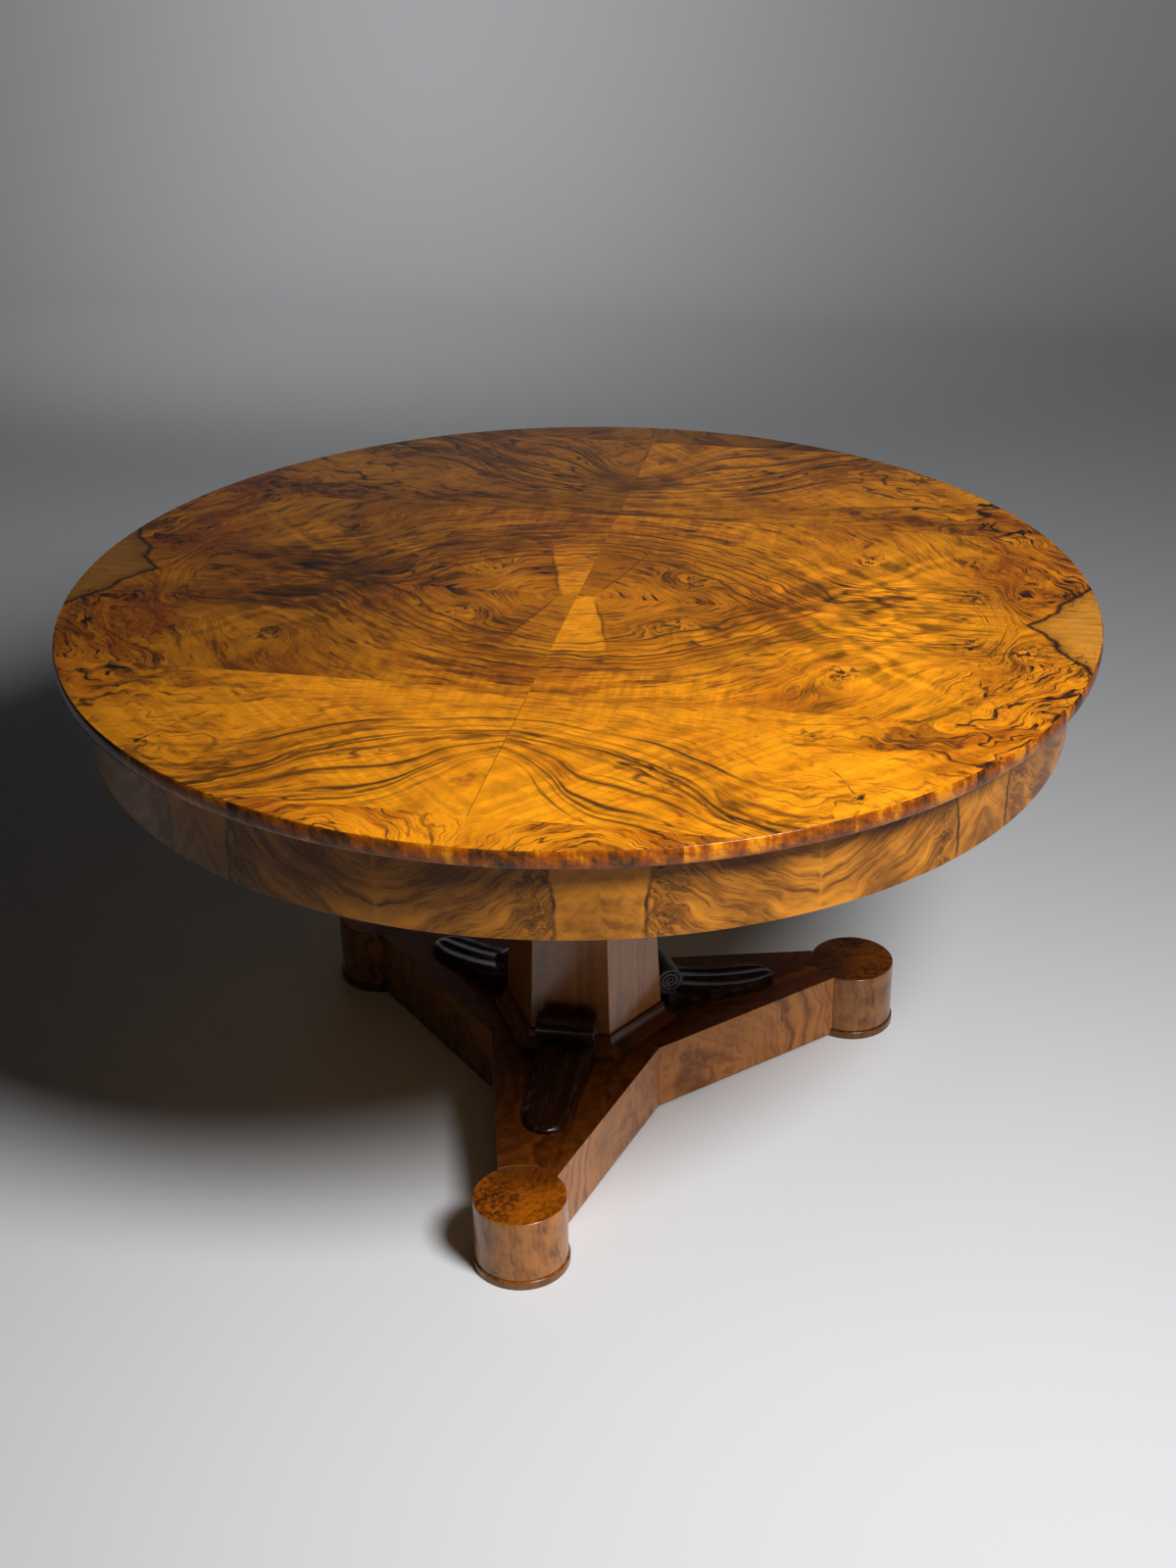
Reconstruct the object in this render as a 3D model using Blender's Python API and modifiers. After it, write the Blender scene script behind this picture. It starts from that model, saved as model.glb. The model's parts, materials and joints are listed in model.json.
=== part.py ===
"""Round walnut centre table on a hexagonal column and a three-armed platform.

The veneered top overhangs a drum-shaped apron.  Two halved bearers inside the apron sit on a
head block, a hollow column of six mitred staves stands under it, and a tie rod draws the top,
the column and the three platform arms together.  Scroll brackets brace the column on each arm,
and each arm ends in a turned drum foot.  The floor is at z = 0 and the front foot faces -Y.
"""

import math

import bmesh
import bpy
from mathutils import Matrix

# Whole table
TABLE_HEIGHT = 0.740
CLEARANCE = 0.0003

# Top: veneer leaves on a boarded core, with a moulded edge band round it
TOP_RADIUS = 0.660
TOP_THICKNESS = 0.0235
VENEER = 0.0012
SHEET_WIDTH = 0.288
RIM_STRIP = 0.068
CORE_BOARDS = 3
EDGE_BAND = 0.030
EDGE_SEGMENTS = 4
ARRIS_INSET = 0.002
EDGE_UNDERCUT = 0.005
EDGE_SWELL_DEPTH = 0.010

# Apron: a drum of curved felloes faced with veneer
TOP_OVERHANG = 0.034
APRON_DEPTH = 0.1045
APRON_WALL = 0.028
FELLOES = 6
FELLOE_START = 15.0
APRON_SHEETS = 4
APRON_SHEET_START = -9.0

# Bearers under the core, halved where they cross and housed in the apron
BEARER_WIDTH = 0.070
BEARER_DEPTH = 0.055
BEARER_HOUSING = 0.012

# Column: six staves, a head block above and a foot block below
COLUMN_FOOT_RADIUS = 0.1116
COLUMN_HEAD_RADIUS = 0.0852
STAVE_THICKNESS = 0.022
HEAD_BLOCK_RADIUS = 0.130
HEAD_BLOCK_THICKNESS = 0.035
SPIGOT_LENGTH = 0.050
FOOT_BLOCK_HEIGHT = 0.080
TENON_RADIUS = 0.040
TENON_LENGTH = 0.070

# Tie rod with a forged disc head below and a washer and nut above
ROD_RADIUS = 0.006
ROD_HEAD_RADIUS = 0.050
ROD_HEAD_THICKNESS = 0.006
ROD_END = 0.002
NUT_RADIUS = 0.0115
NUT_HEIGHT = 0.010
WASHER_RADIUS = 0.020
WASHER_THICKNESS = 0.003
BORE_EASE = 0.001

# Plinth moulding round the foot of the column
PLINTH_HEIGHT = 0.0315
PLINTH_PROJECTION = 0.0168
PLINTH_FILLET = 0.009
PLINTH_TOP_WIDTH = 0.003

# Platform arms, notched between the feet
PLATFORM_TOP = 0.101
PLATFORM_LIFT = 0.004
NOTCH_RADIUS = 0.1375
ARM_HALF_WIDTH = 0.0268
FOOT_DISTANCE = 0.415

# Drum feet
FOOT_RADIUS = 0.060
FOOT_ARRIS = 0.0025
FOOT_BASE_RADIUS = 0.0625
FOOT_BASE_HEIGHT = 0.0115
FOOT_BASE_ROUND = 0.0025

# Scroll brackets: a volute against the column, running out into a carved leaf
BRACKET_REACH = 0.290
VOLUTE_RADIUS = 0.0175
VOLUTE_GROWTH = 0.075
VOLUTE_CREASE = -60.0
VOLUTE_RISE = 0.0505
VOLUTE_HALF_WIDTH = 0.040
EYE_RADIUS = 0.0045
EYE_PROJECTION = 0.002
GROOVE_RADIUS = 0.0012
GROOVE_TURNS = 1.5
LEAF_HALF_WIDTH = 0.035
LEAF_TIP_HEIGHT = 0.009
LEAF_TIP_LENGTH = 0.045
LEAF_ROLL = 0.005
LEAF_RIBS = 3
FLUTE_DEPTH = 0.004
LEAF_LOBES = 4
LOBE_DEPTH = 0.004

# Turns in degrees, and the directions of the feet from +X
FULL_TURN = 360.0
HALF_TURN = FULL_TURN / 2
QUARTER_TURN = FULL_TURN / 4
FEET = {"front": -90.0, "right": 30.0, "left": 150.0}
HEX_FACES = 6
HEX_TURN = FULL_TURN / HEX_FACES
FACE = math.cos(math.radians(HEX_TURN / 2))
UPRIGHT = Matrix.Rotation(math.radians(QUARTER_TURN), 4, "X")

# Facets of round shapes
TURN_STEPS = 96
FOOT_STEPS = 40
SMALL_STEPS = 24
ROUND_STEPS = 4
SCROLL_STEPS = 20
EYE_STEPS = 12
GROOVE_STEPS = 14
LEAF_STATIONS = 18
LEAF_STRIPS = 12
LEAF_END_ANGLE = 83.0
SMOOTH_ANGLE = 30.0
WELD = 0.00001

# Levels that follow from the sizes above
TOP_UNDERSIDE = TABLE_HEIGHT - TOP_THICKNESS
CORE_TOP = TABLE_HEIGHT - VENEER - CLEARANCE
CORE_RADIUS = TOP_RADIUS - EDGE_BAND - CLEARANCE
RIM_JOINT = TOP_RADIUS - RIM_STRIP
APRON_RADIUS = TOP_RADIUS - TOP_OVERHANG
APRON_TOP = TOP_UNDERSIDE - CLEARANCE
APRON_BOTTOM = APRON_TOP - APRON_DEPTH
FELLOE_OUTER = APRON_RADIUS - VENEER - CLEARANCE
FELLOE_INNER = FELLOE_OUTER - APRON_WALL
BEARER_BOTTOM = APRON_TOP - BEARER_DEPTH
BEARER_MIDDLE = APRON_TOP - BEARER_DEPTH / 2
BEARER_REACH = FELLOE_INNER + BEARER_HOUSING
HEAD_TOP = BEARER_BOTTOM - CLEARANCE
HEAD_BOTTOM = HEAD_TOP - HEAD_BLOCK_THICKNESS
COLUMN_TOP = HEAD_BOTTOM - CLEARANCE
COLUMN_BOTTOM = PLATFORM_TOP + CLEARANCE
TENON_BOTTOM = PLATFORM_TOP - TENON_LENGTH
ROD_HEAD_TOP = TENON_BOTTOM - CLEARANCE
NUT_STACK = WASHER_THICKNESS + NUT_HEIGHT + ROD_END + 2 * CLEARANCE
NUT_POCKET_FLOOR = APRON_TOP - NUT_STACK - CLEARANCE
WASHER_BOTTOM = NUT_POCKET_FLOOR + CLEARANCE
NUT_BOTTOM = WASHER_BOTTOM + WASHER_THICKNESS + CLEARANCE
ROD_TOP = NUT_BOTTOM + NUT_HEIGHT + ROD_END
BORE_RADIUS = ROD_RADIUS + BORE_EASE
FOOT_BOTTOM = FOOT_BASE_HEIGHT + CLEARANCE
PLINTH_OUTER = COLUMN_FOOT_RADIUS * FACE + PLINTH_PROJECTION
PLINTH_TOP = COLUMN_BOTTOM + PLINTH_HEIGHT

# Base colours, roughness and metallic value of each finish
FINISHES = {
    "pine": ((0.52, 0.36, 0.19), 0.75, 0.0),
    "top_walnut": ((0.33, 0.15, 0.035), 0.28, 0.0),
    "edge_walnut": ((0.20, 0.070, 0.020), 0.30, 0.0),
    "apron_walnut": ((0.21, 0.11, 0.030), 0.32, 0.0),
    "column_walnut": ((0.22, 0.10, 0.030), 0.30, 0.0),
    "plinth_walnut": ((0.10, 0.040, 0.016), 0.35, 0.0),
    "bracket_dark": ((0.035, 0.016, 0.010), 0.35, 0.0),
    "platform_walnut": ((0.20, 0.085, 0.025), 0.32, 0.0),
    "foot_walnut": ((0.26, 0.13, 0.050), 0.32, 0.0),
    "iron": ((0.09, 0.085, 0.08), 0.60, 1.0),
}


def clear_scene():
    """Remove every object that the file opened with."""
    for old in list(bpy.data.objects):
        bpy.data.objects.remove(old, do_unlink=True)


def new_collection(name):
    """Add a collection to the scene."""
    group = bpy.data.collections.new(name)
    bpy.context.scene.collection.children.link(group)
    return group


def new_finish(name):
    """Make the material of one finish."""
    colour, roughness, metallic = FINISHES[name]
    material = bpy.data.materials.new(name)
    material.use_nodes = True
    shader = material.node_tree.nodes["Principled BSDF"]
    shader.inputs["Base Color"].default_value = (*colour, 1.0)
    shader.inputs["Roughness"].default_value = roughness
    shader.inputs["Metallic"].default_value = metallic
    return material


clear_scene()
PARTS = new_collection("centre_table")
CUTTERS = new_collection("centre_table_cutters")
MATERIALS = {finish: new_finish(finish) for finish in FINISHES}


def add_part(name, mesh, finish, degrees=0.0, outward=0.0):
    """Place a piece, turned about the table's axis and moved outward along that direction."""
    if not mesh.materials:
        mesh.materials.append(MATERIALS[finish])
    piece = bpy.data.objects.new(name, mesh)
    turn = math.radians(degrees)
    piece.rotation_euler.z = turn
    piece.location = (outward * math.cos(turn), outward * math.sin(turn), 0.0)
    PARTS.objects.link(piece)
    return piece


def add_cutter(name, mesh):
    """Place a shape that only cuts or joins other pieces."""
    cutter = bpy.data.objects.new(name, mesh)
    cutter.hide_render = True
    cutter.display_type = "WIRE"
    CUTTERS.objects.link(cutter)
    return cutter


def combine(piece, cutter, operation):
    """Cut a piece by another shape, or join the two into one body."""
    step = piece.modifiers.new(cutter.name, "BOOLEAN")
    step.operation = operation
    step.solver = "EXACT"
    step.object = cutter


def settled(blank):
    """Mesh of a blank with its modifiers worked in; the blank itself is removed."""
    bpy.context.view_layer.update()
    evaluated = blank.evaluated_get(bpy.context.evaluated_depsgraph_get())
    mesh = bpy.data.meshes.new_from_object(evaluated)
    mesh.name = blank.name
    mesh.materials.clear()
    bpy.data.objects.remove(blank, do_unlink=True)
    return mesh


def edit(mesh, matrix=None):
    """Weld a mesh, turn its faces outward and move it by a matrix."""
    bm = bmesh.new()
    bm.from_mesh(mesh)
    bmesh.ops.remove_doubles(bm, verts=bm.verts, dist=WELD)
    if matrix is not None:
        bmesh.ops.transform(bm, matrix=matrix, verts=bm.verts)
    bmesh.ops.recalc_face_normals(bm, faces=bm.faces)
    bm.to_mesh(mesh)
    bm.free()
    return mesh


def slab(name, outlines, bottom, top):
    """Flat outline in plan, with any holes in it, filled and extruded between two levels."""
    curve = bpy.data.curves.new(name, "CURVE")
    curve.dimensions = "2D"
    curve.fill_mode = "BOTH"
    curve.extrude = (top - bottom) / 2
    for outline in outlines:
        spline = curve.splines.new("POLY")
        spline.points.add(len(outline) - 1)
        for point, (x, y) in zip(spline.points, outline):
            point.co = (x, y, 0.0, 1.0)
        spline.use_cyclic_u = True
    blank = bpy.data.objects.new(name, curve)
    CUTTERS.objects.link(blank)
    return edit(settled(blank), Matrix.Translation((0.0, 0.0, (top + bottom) / 2)))


def spun(name, profile, degrees, steps):
    """Closed profile of (radius, height) points swept about the axis, centred on +X."""
    bm = bmesh.new()
    loop = [bm.verts.new((radius, 0.0, height)) for radius, height in profile]
    face = bm.faces.new(loop)
    bmesh.ops.spin(
        bm,
        geom=[face, *face.edges, *loop],
        cent=(0.0, 0.0, 0.0),
        axis=(0.0, 0.0, 1.0),
        angle=math.radians(degrees),
        steps=steps,
    )
    mesh = bpy.data.meshes.new(name)
    bm.to_mesh(mesh)
    bm.free()
    return edit(mesh, Matrix.Rotation(math.radians(-degrees / 2), 4, "Z"))


def turned(name, profile, steps):
    """Full turn of a profile that runs down its outer side from axis to axis."""
    mesh = bpy.data.meshes.new(name)
    points = [(radius, 0.0, height) for radius, height in profile]
    mesh.from_pydata(points, [(i, i + 1) for i in range(len(points) - 1)], [])
    blank = bpy.data.objects.new(name, mesh)
    CUTTERS.objects.link(blank)
    lathe = blank.modifiers.new("lathe", "SCREW")
    lathe.steps = steps
    lathe.render_steps = steps
    lathe.use_merge_vertices = True
    lathe.merge_threshold = WELD
    lathe.use_smooth_shade = False
    return edit(settled(blank))


def loft(name, rings):
    """Skin through a row of like closed sections, with both ends closed."""
    bm = bmesh.new()
    rows = [[bm.verts.new(point) for point in ring] for ring in rings]
    for near, far in zip(rows, rows[1:]):
        for i, corner in enumerate(near):
            following = (i + 1) % len(near)
            bm.faces.new((corner, near[following], far[following], far[i]))
    bm.faces.new(rows[0])
    bm.faces.new(rows[-1])
    mesh = bpy.data.meshes.new(name)
    bm.to_mesh(mesh)
    bm.free()
    return edit(mesh)


def hex_frustum(name, bottom_radius, top_radius, bottom, top):
    """Six-sided block, tapered between two corner radii, with a corner on +X."""
    bm = bmesh.new()
    place = Matrix.Translation((0.0, 0.0, (top + bottom) / 2))
    bmesh.ops.create_cone(
        bm,
        cap_ends=True,
        segments=HEX_FACES,
        radius1=bottom_radius,
        radius2=top_radius,
        depth=top - bottom,
        matrix=place @ Matrix.Rotation(math.radians(HEX_TURN / 2), 4, "Z"),
    )
    mesh = bpy.data.meshes.new(name)
    bm.to_mesh(mesh)
    bm.free()
    return mesh


def rod_profile(radius, bottom, top):
    """Profile of a plain cylinder."""
    return [(0.0, top), (radius, top), (radius, bottom), (0.0, bottom)]


def circle(radius, steps):
    """Points round a circle in plan."""
    turns = [math.tau * i / steps for i in range(steps)]
    return [(radius * math.cos(turn), radius * math.sin(turn)) for turn in turns]


def arc(radius, start, end, step=math.tau / TURN_STEPS):
    """Points along an arc in plan between two angles in radians."""
    count = max(1, math.ceil(abs(end - start) / step))
    turns = [start + (end - start) * i / count for i in range(count + 1)]
    return [(radius * math.cos(turn), radius * math.sin(turn)) for turn in turns]


def clear_of(radius):
    """Corner radius of a faceted hollow whose flats clear a round piece of this radius."""
    return radius / math.cos(math.pi / TURN_STEPS)


def quarter_round(centre, across, height, start, end):
    """Points along part of an ellipse in section, angles in degrees from the outward side."""
    turns = [math.radians(start + (end - start) * i / ROUND_STEPS) for i in range(ROUND_STEPS + 1)]
    return [(centre[0] + across * math.cos(t), centre[1] + height * math.sin(t)) for t in turns]


def column_radius(height):
    """Corner radius of the tapered column at a level."""
    share = (height - COLUMN_BOTTOM) / (COLUMN_TOP - COLUMN_BOTTOM)
    return COLUMN_FOOT_RADIUS + (COLUMN_HEAD_RADIUS - COLUMN_FOOT_RADIUS) * share


def column_face(height):
    """Distance of a column face from the axis at a level."""
    return column_radius(height) * FACE


def mitred(name, section, finish):
    """Six like lengths of one (distance, height) section, mitred round the column."""
    corners = [((distance - CLEARANCE) / FACE, height) for distance, height in section]
    mesh = spun(name, corners, HEX_TURN, 1)
    for k in range(HEX_FACES):
        add_part(f"{name}_{k + 1}", mesh, finish, k * HEX_TURN - QUARTER_TURN, CLEARANCE)


def make_core():
    """Pine boards, edge to edge, that carry the veneer."""
    width = 2 * CORE_RADIUS / CORE_BOARDS
    for k in range(CORE_BOARDS):
        low = -CORE_RADIUS + k * width + (CLEARANCE / 2 if k else 0.0)
        high = -CORE_RADIUS + (k + 1) * width - (CLEARANCE / 2 if k < CORE_BOARDS - 1 else 0.0)
        first = math.asin(max(-1.0, low / CORE_RADIUS))
        last = math.asin(min(1.0, high / CORE_RADIUS))
        right = arc(CORE_RADIUS, first, last)
        left = [(-x, y) for x, y in reversed(right) if x > WELD]
        outline = right + left
        name = f"top_core_board_{k + 1}"
        add_part(name, slab(name, [outline], TOP_UNDERSIDE, CORE_TOP), "pine")


def leaf_outline(low, high, side, hand):
    """Outline of one veneer leaf: a strip of the top on one side of the front-to-back seam."""
    radius = TOP_RADIUS - ARRIS_INSET
    seam = CLEARANCE / 2
    first = math.asin(low / radius)
    last = min(math.asin(min(1.0, high / radius)), math.acos(seam / radius))
    rim = arc(radius, first, last)
    outline = [(seam, low), *rim]
    if rim[-1][0] > seam + WELD:
        outline.append((seam, high))
    return [(hand * x, side * y) for x, y in outline]


def make_top_veneer():
    """Twelve book-matched leaves: inner and outer sheets and strips at the rim, in four quarters."""
    half = CLEARANCE / 2
    sheets = {
        "inner": (half, SHEET_WIDTH - half),
        "outer": (SHEET_WIDTH + half, RIM_JOINT - half),
        "rim": (RIM_JOINT + half, TOP_RADIUS),
    }
    for sheet, (low, high) in sheets.items():
        for side_name, side in (("front", -1), ("back", 1)):
            for hand_name, hand in (("left", -1), ("right", 1)):
                name = f"top_veneer_{sheet}_{side_name}_{hand_name}"
                outline = leaf_outline(low, high, side, hand)
                mesh = slab(name, [outline], TABLE_HEIGHT - VENEER, TABLE_HEIGHT)
                add_part(name, mesh, "top_walnut")


def make_edge():
    """Cross-grained edge mouldings: a crisp arris, a swelling face and an undercut foot."""
    swell = TABLE_HEIGHT - EDGE_SWELL_DEPTH
    arris = TOP_RADIUS - ARRIS_INSET
    foot = TOP_RADIUS - EDGE_UNDERCUT
    upper = quarter_round((arris, swell), ARRIS_INSET, CORE_TOP - swell, QUARTER_TURN, 0.0)
    lower = quarter_round((foot, swell), EDGE_UNDERCUT, swell - TOP_UNDERSIDE, 0.0, -QUARTER_TURN)
    inner = clear_of(CORE_RADIUS + CLEARANCE)
    profile = [(inner, CORE_TOP), *upper, *lower[1:], (inner, TOP_UNDERSIDE)]
    share = FULL_TURN / EDGE_SEGMENTS
    sweep = share - math.degrees(CLEARANCE / inner)
    mesh = spun("edge_moulding", profile, sweep, TURN_STEPS // EDGE_SEGMENTS)
    for k in range(EDGE_SEGMENTS):
        add_part(f"edge_moulding_{k + 1}", mesh, "edge_walnut", k * share)


def ring_sector(inner, outer, sweep):
    """Section-shaped outline of a ring in plan, centred on +X."""
    half = sweep / 2
    return arc(outer, -half, half) + arc(inner, half, -half)


def make_felloes(housings):
    """Curved segments of the drum, housed for the bearers."""
    share = math.tau / FELLOES
    outline = ring_sector(FELLOE_INNER, FELLOE_OUTER, share - CLEARANCE / FELLOE_INNER)
    for k in range(FELLOES):
        name = f"apron_felloe_{k + 1}"
        mesh = slab(name, [outline], APRON_BOTTOM, APRON_TOP)
        felloe = add_part(name, mesh, "pine", FELLOE_START + math.degrees(share) * (k + 0.5))
        for housing in housings:
            combine(felloe, housing, "DIFFERENCE")


def make_apron_veneer():
    """Curved sheets that face the drum."""
    share = math.tau / APRON_SHEETS
    inner = clear_of(FELLOE_OUTER + CLEARANCE)
    outline = ring_sector(inner, APRON_RADIUS, share - CLEARANCE / inner)
    sheet = slab("apron_veneer", [outline], APRON_BOTTOM, APRON_TOP)
    for k in range(APRON_SHEETS):
        degrees = APRON_SHEET_START + math.degrees(share) * (k + 0.5)
        add_part(f"apron_veneer_{k + 1}", sheet, "apron_walnut", degrees)


def halved_bar(name, notch_on_top):
    """Bearer along X, seen from its side, with half its depth cut away at the crossing."""
    notch = BEARER_WIDTH / 2 + CLEARANCE
    if notch_on_top:
        edge, level = APRON_TOP, BEARER_MIDDLE - CLEARANCE / 2
        far = BEARER_BOTTOM
    else:
        edge, level = BEARER_BOTTOM, BEARER_MIDDLE + CLEARANCE / 2
        far = APRON_TOP
    half = [(notch, level), (notch, edge), (BEARER_REACH, edge), (BEARER_REACH, far)]
    outline = half + [(-x, z) for x, z in reversed(half)]
    mesh = slab(name, [outline], -BEARER_WIDTH / 2, BEARER_WIDTH / 2)
    return edit(mesh, UPRIGHT)


def make_bearers(bore, pocket):
    """Two bearers across the apron, bored for the rod, with a pocket for its nut."""
    lower = add_part("bearer_lower", halved_bar("bearer_lower", True), "pine")
    upper = add_part("bearer_upper", halved_bar("bearer_upper", False), "pine", QUARTER_TURN)
    combine(lower, bore, "DIFFERENCE")
    combine(upper, bore, "DIFFERENCE")
    combine(upper, pocket, "DIFFERENCE")


def make_housing(degrees):
    """Space that a bearer's ends take up in the apron."""
    reach = BEARER_REACH + CLEARANCE
    side = BEARER_WIDTH / 2 + CLEARANCE
    outline = [(-reach, -side), (reach, -side), (reach, side), (-reach, side)]
    name = f"bearer_housing_{degrees:.0f}"
    mesh = slab(name, [outline], BEARER_BOTTOM - CLEARANCE, TABLE_HEIGHT)
    housing = add_cutter(name, mesh)
    housing.rotation_euler.z = math.radians(degrees)
    return housing


def make_column(bore):
    """Staves, the head block that plugs their top and the foot block tenoned into the platform."""
    foot = COLUMN_FOOT_RADIUS * FACE
    head = COLUMN_HEAD_RADIUS * FACE
    section = [
        (foot - STAVE_THICKNESS, COLUMN_BOTTOM),
        (foot, COLUMN_BOTTOM),
        (head, COLUMN_TOP),
        (head - STAVE_THICKNESS, COLUMN_TOP),
    ]
    mitred("column_stave", section, "column_walnut")

    def hollow(height):
        return (column_face(height) - STAVE_THICKNESS - CLEARANCE) / FACE

    plate = hex_frustum("head_plate", HEAD_BLOCK_RADIUS, HEAD_BLOCK_RADIUS, HEAD_BOTTOM, HEAD_TOP)
    spigot_top = HEAD_BOTTOM + HEAD_BLOCK_THICKNESS / 2
    spigot_foot = COLUMN_TOP - SPIGOT_LENGTH
    spigot = hex_frustum("spigot", hollow(spigot_foot), hollow(spigot_top), spigot_foot, spigot_top)
    block = add_part("column_head_block", plate, "pine")
    combine(block, add_cutter("spigot", spigot), "UNION")
    combine(block, bore, "DIFFERENCE")

    plug_top = COLUMN_BOTTOM + FOOT_BLOCK_HEIGHT
    plug = hex_frustum("plug", hollow(COLUMN_BOTTOM), hollow(plug_top), COLUMN_BOTTOM, plug_top)
    tenon_top = plug_top - FOOT_BLOCK_HEIGHT / 2
    tenon = hex_frustum("tenon", TENON_RADIUS, TENON_RADIUS, TENON_BOTTOM, tenon_top)
    block = add_part("column_foot_block", plug, "pine")
    combine(block, add_cutter("tenon", tenon), "UNION")
    combine(block, bore, "DIFFERENCE")


def make_tie_rod():
    """Iron rod with a forged disc head, its washer and its six-sided nut."""
    head_bottom = ROD_HEAD_TOP - ROD_HEAD_THICKNESS
    profile = [
        (0.0, ROD_TOP),
        (ROD_RADIUS, ROD_TOP),
        (ROD_RADIUS, ROD_HEAD_TOP),
        (ROD_HEAD_RADIUS, ROD_HEAD_TOP),
        (ROD_HEAD_RADIUS, head_bottom),
        (0.0, head_bottom),
    ]
    add_part("tie_rod", turned("tie_rod", profile, SMALL_STEPS), "iron")
    hole = circle(ROD_RADIUS + CLEARANCE, SMALL_STEPS)
    washer_top = WASHER_BOTTOM + WASHER_THICKNESS
    washer = slab("washer", [circle(WASHER_RADIUS, SMALL_STEPS), hole], WASHER_BOTTOM, washer_top)
    add_part("tie_rod_washer", washer, "iron")
    nut_outline = circle(NUT_RADIUS, HEX_FACES)
    nut = slab("nut", [nut_outline, hole], NUT_BOTTOM, NUT_BOTTOM + NUT_HEIGHT)
    add_part("tie_rod_nut", nut, "iron")


def make_plinth():
    """Six mitred mouldings: an upright fillet, a cove and a narrow top edge against the column."""
    back_foot = column_face(COLUMN_BOTTOM) + CLEARANCE
    back_top = column_face(PLINTH_TOP) + CLEARANCE
    lip = back_top + PLINTH_TOP_WIDTH
    shoulder = COLUMN_BOTTOM + PLINTH_FILLET
    centre = (PLINTH_OUTER, PLINTH_TOP)
    depth = PLINTH_OUTER - lip
    cove = quarter_round(centre, depth, PLINTH_TOP - shoulder, HALF_TURN, HALF_TURN + QUARTER_TURN)
    section = [
        (back_foot, COLUMN_BOTTOM),
        (back_top, PLINTH_TOP),
        *cove,
        (PLINTH_OUTER, COLUMN_BOTTOM),
    ]
    mitred("plinth_moulding", section, "plinth_walnut")


def make_platform():
    """Three tapering arms, mitred at the axis round the column's tenon and scooped for the feet."""
    notch_turn = math.pi / len(FEET)
    notch_x = NOTCH_RADIUS * math.cos(notch_turn) + CLEARANCE
    notch_y = NOTCH_RADIUS * math.sin(notch_turn)
    outline = [
        (CLEARANCE, 0.0),
        (notch_x, -notch_y),
        (FOOT_DISTANCE, -ARM_HALF_WIDTH),
        (FOOT_DISTANCE, ARM_HALF_WIDTH),
        (notch_x, notch_y),
    ]
    blank = add_cutter("arm_blank", slab("arm_blank", [outline], PLATFORM_LIFT, PLATFORM_TOP))
    mortise_radius = TENON_RADIUS + CLEARANCE / FACE
    mortise = hex_frustum("mortise", mortise_radius, mortise_radius, 0.0, TABLE_HEIGHT)
    recess_radius = ROD_HEAD_RADIUS + BORE_EASE
    recess = turned("head_recess", rod_profile(recess_radius, 0.0, TENON_BOTTOM), SMALL_STEPS)
    seat_step = FOOT_BASE_HEIGHT + CLEARANCE
    seat_profile = [
        (0.0, TABLE_HEIGHT),
        (FOOT_RADIUS + CLEARANCE, TABLE_HEIGHT),
        (FOOT_RADIUS + CLEARANCE, seat_step),
        (FOOT_BASE_RADIUS + CLEARANCE, seat_step),
        (FOOT_BASE_RADIUS + CLEARANCE, 0.0),
        (0.0, 0.0),
    ]
    seat = add_cutter("foot_seat", turned("foot_seat", seat_profile, FOOT_STEPS))
    seat.location.x = FOOT_DISTANCE
    mortise = add_cutter("mortise", mortise)
    mortise.rotation_euler.z = math.radians(HEX_TURN / 2)
    for cutter in (mortise, add_cutter("head_recess", recess), seat):
        combine(blank, cutter, "DIFFERENCE")
    arm = edit(settled(blank))
    for side, degrees in FEET.items():
        add_part(f"platform_arm_{side}", arm, "platform_walnut", degrees)


def make_feet():
    """Turned drums, level with the platform, on slightly wider turned bases."""
    arris_centre = (FOOT_RADIUS - FOOT_ARRIS, PLATFORM_TOP - FOOT_ARRIS)
    drum_profile = [
        (0.0, PLATFORM_TOP),
        *quarter_round(arris_centre, FOOT_ARRIS, FOOT_ARRIS, QUARTER_TURN, 0.0),
        (FOOT_RADIUS, FOOT_BOTTOM),
        (0.0, FOOT_BOTTOM),
    ]
    drum = turned("foot_drum", drum_profile, FOOT_STEPS)
    edge_centre = (FOOT_BASE_RADIUS - FOOT_BASE_ROUND, FOOT_BASE_HEIGHT - FOOT_BASE_ROUND)
    base_profile = [
        (0.0, FOOT_BASE_HEIGHT),
        *quarter_round(edge_centre, FOOT_BASE_ROUND, FOOT_BASE_ROUND, QUARTER_TURN, 0.0),
        (FOOT_BASE_RADIUS, 0.0),
        (0.0, 0.0),
    ]
    base = turned("foot_base", base_profile, FOOT_STEPS)
    for side, degrees in FEET.items():
        add_part(f"foot_drum_{side}", drum, "foot_walnut", degrees, FOOT_DISTANCE)
        add_part(f"foot_base_{side}", base, "foot_walnut", degrees, FOOT_DISTANCE)


def volute_radius(degrees):
    """Radius of the scroll's outer turn, which tightens from the column round to the crease."""
    return VOLUTE_RADIUS * (1 + VOLUTE_GROWTH * (degrees - VOLUTE_CREASE) / QUARTER_TURN)


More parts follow.
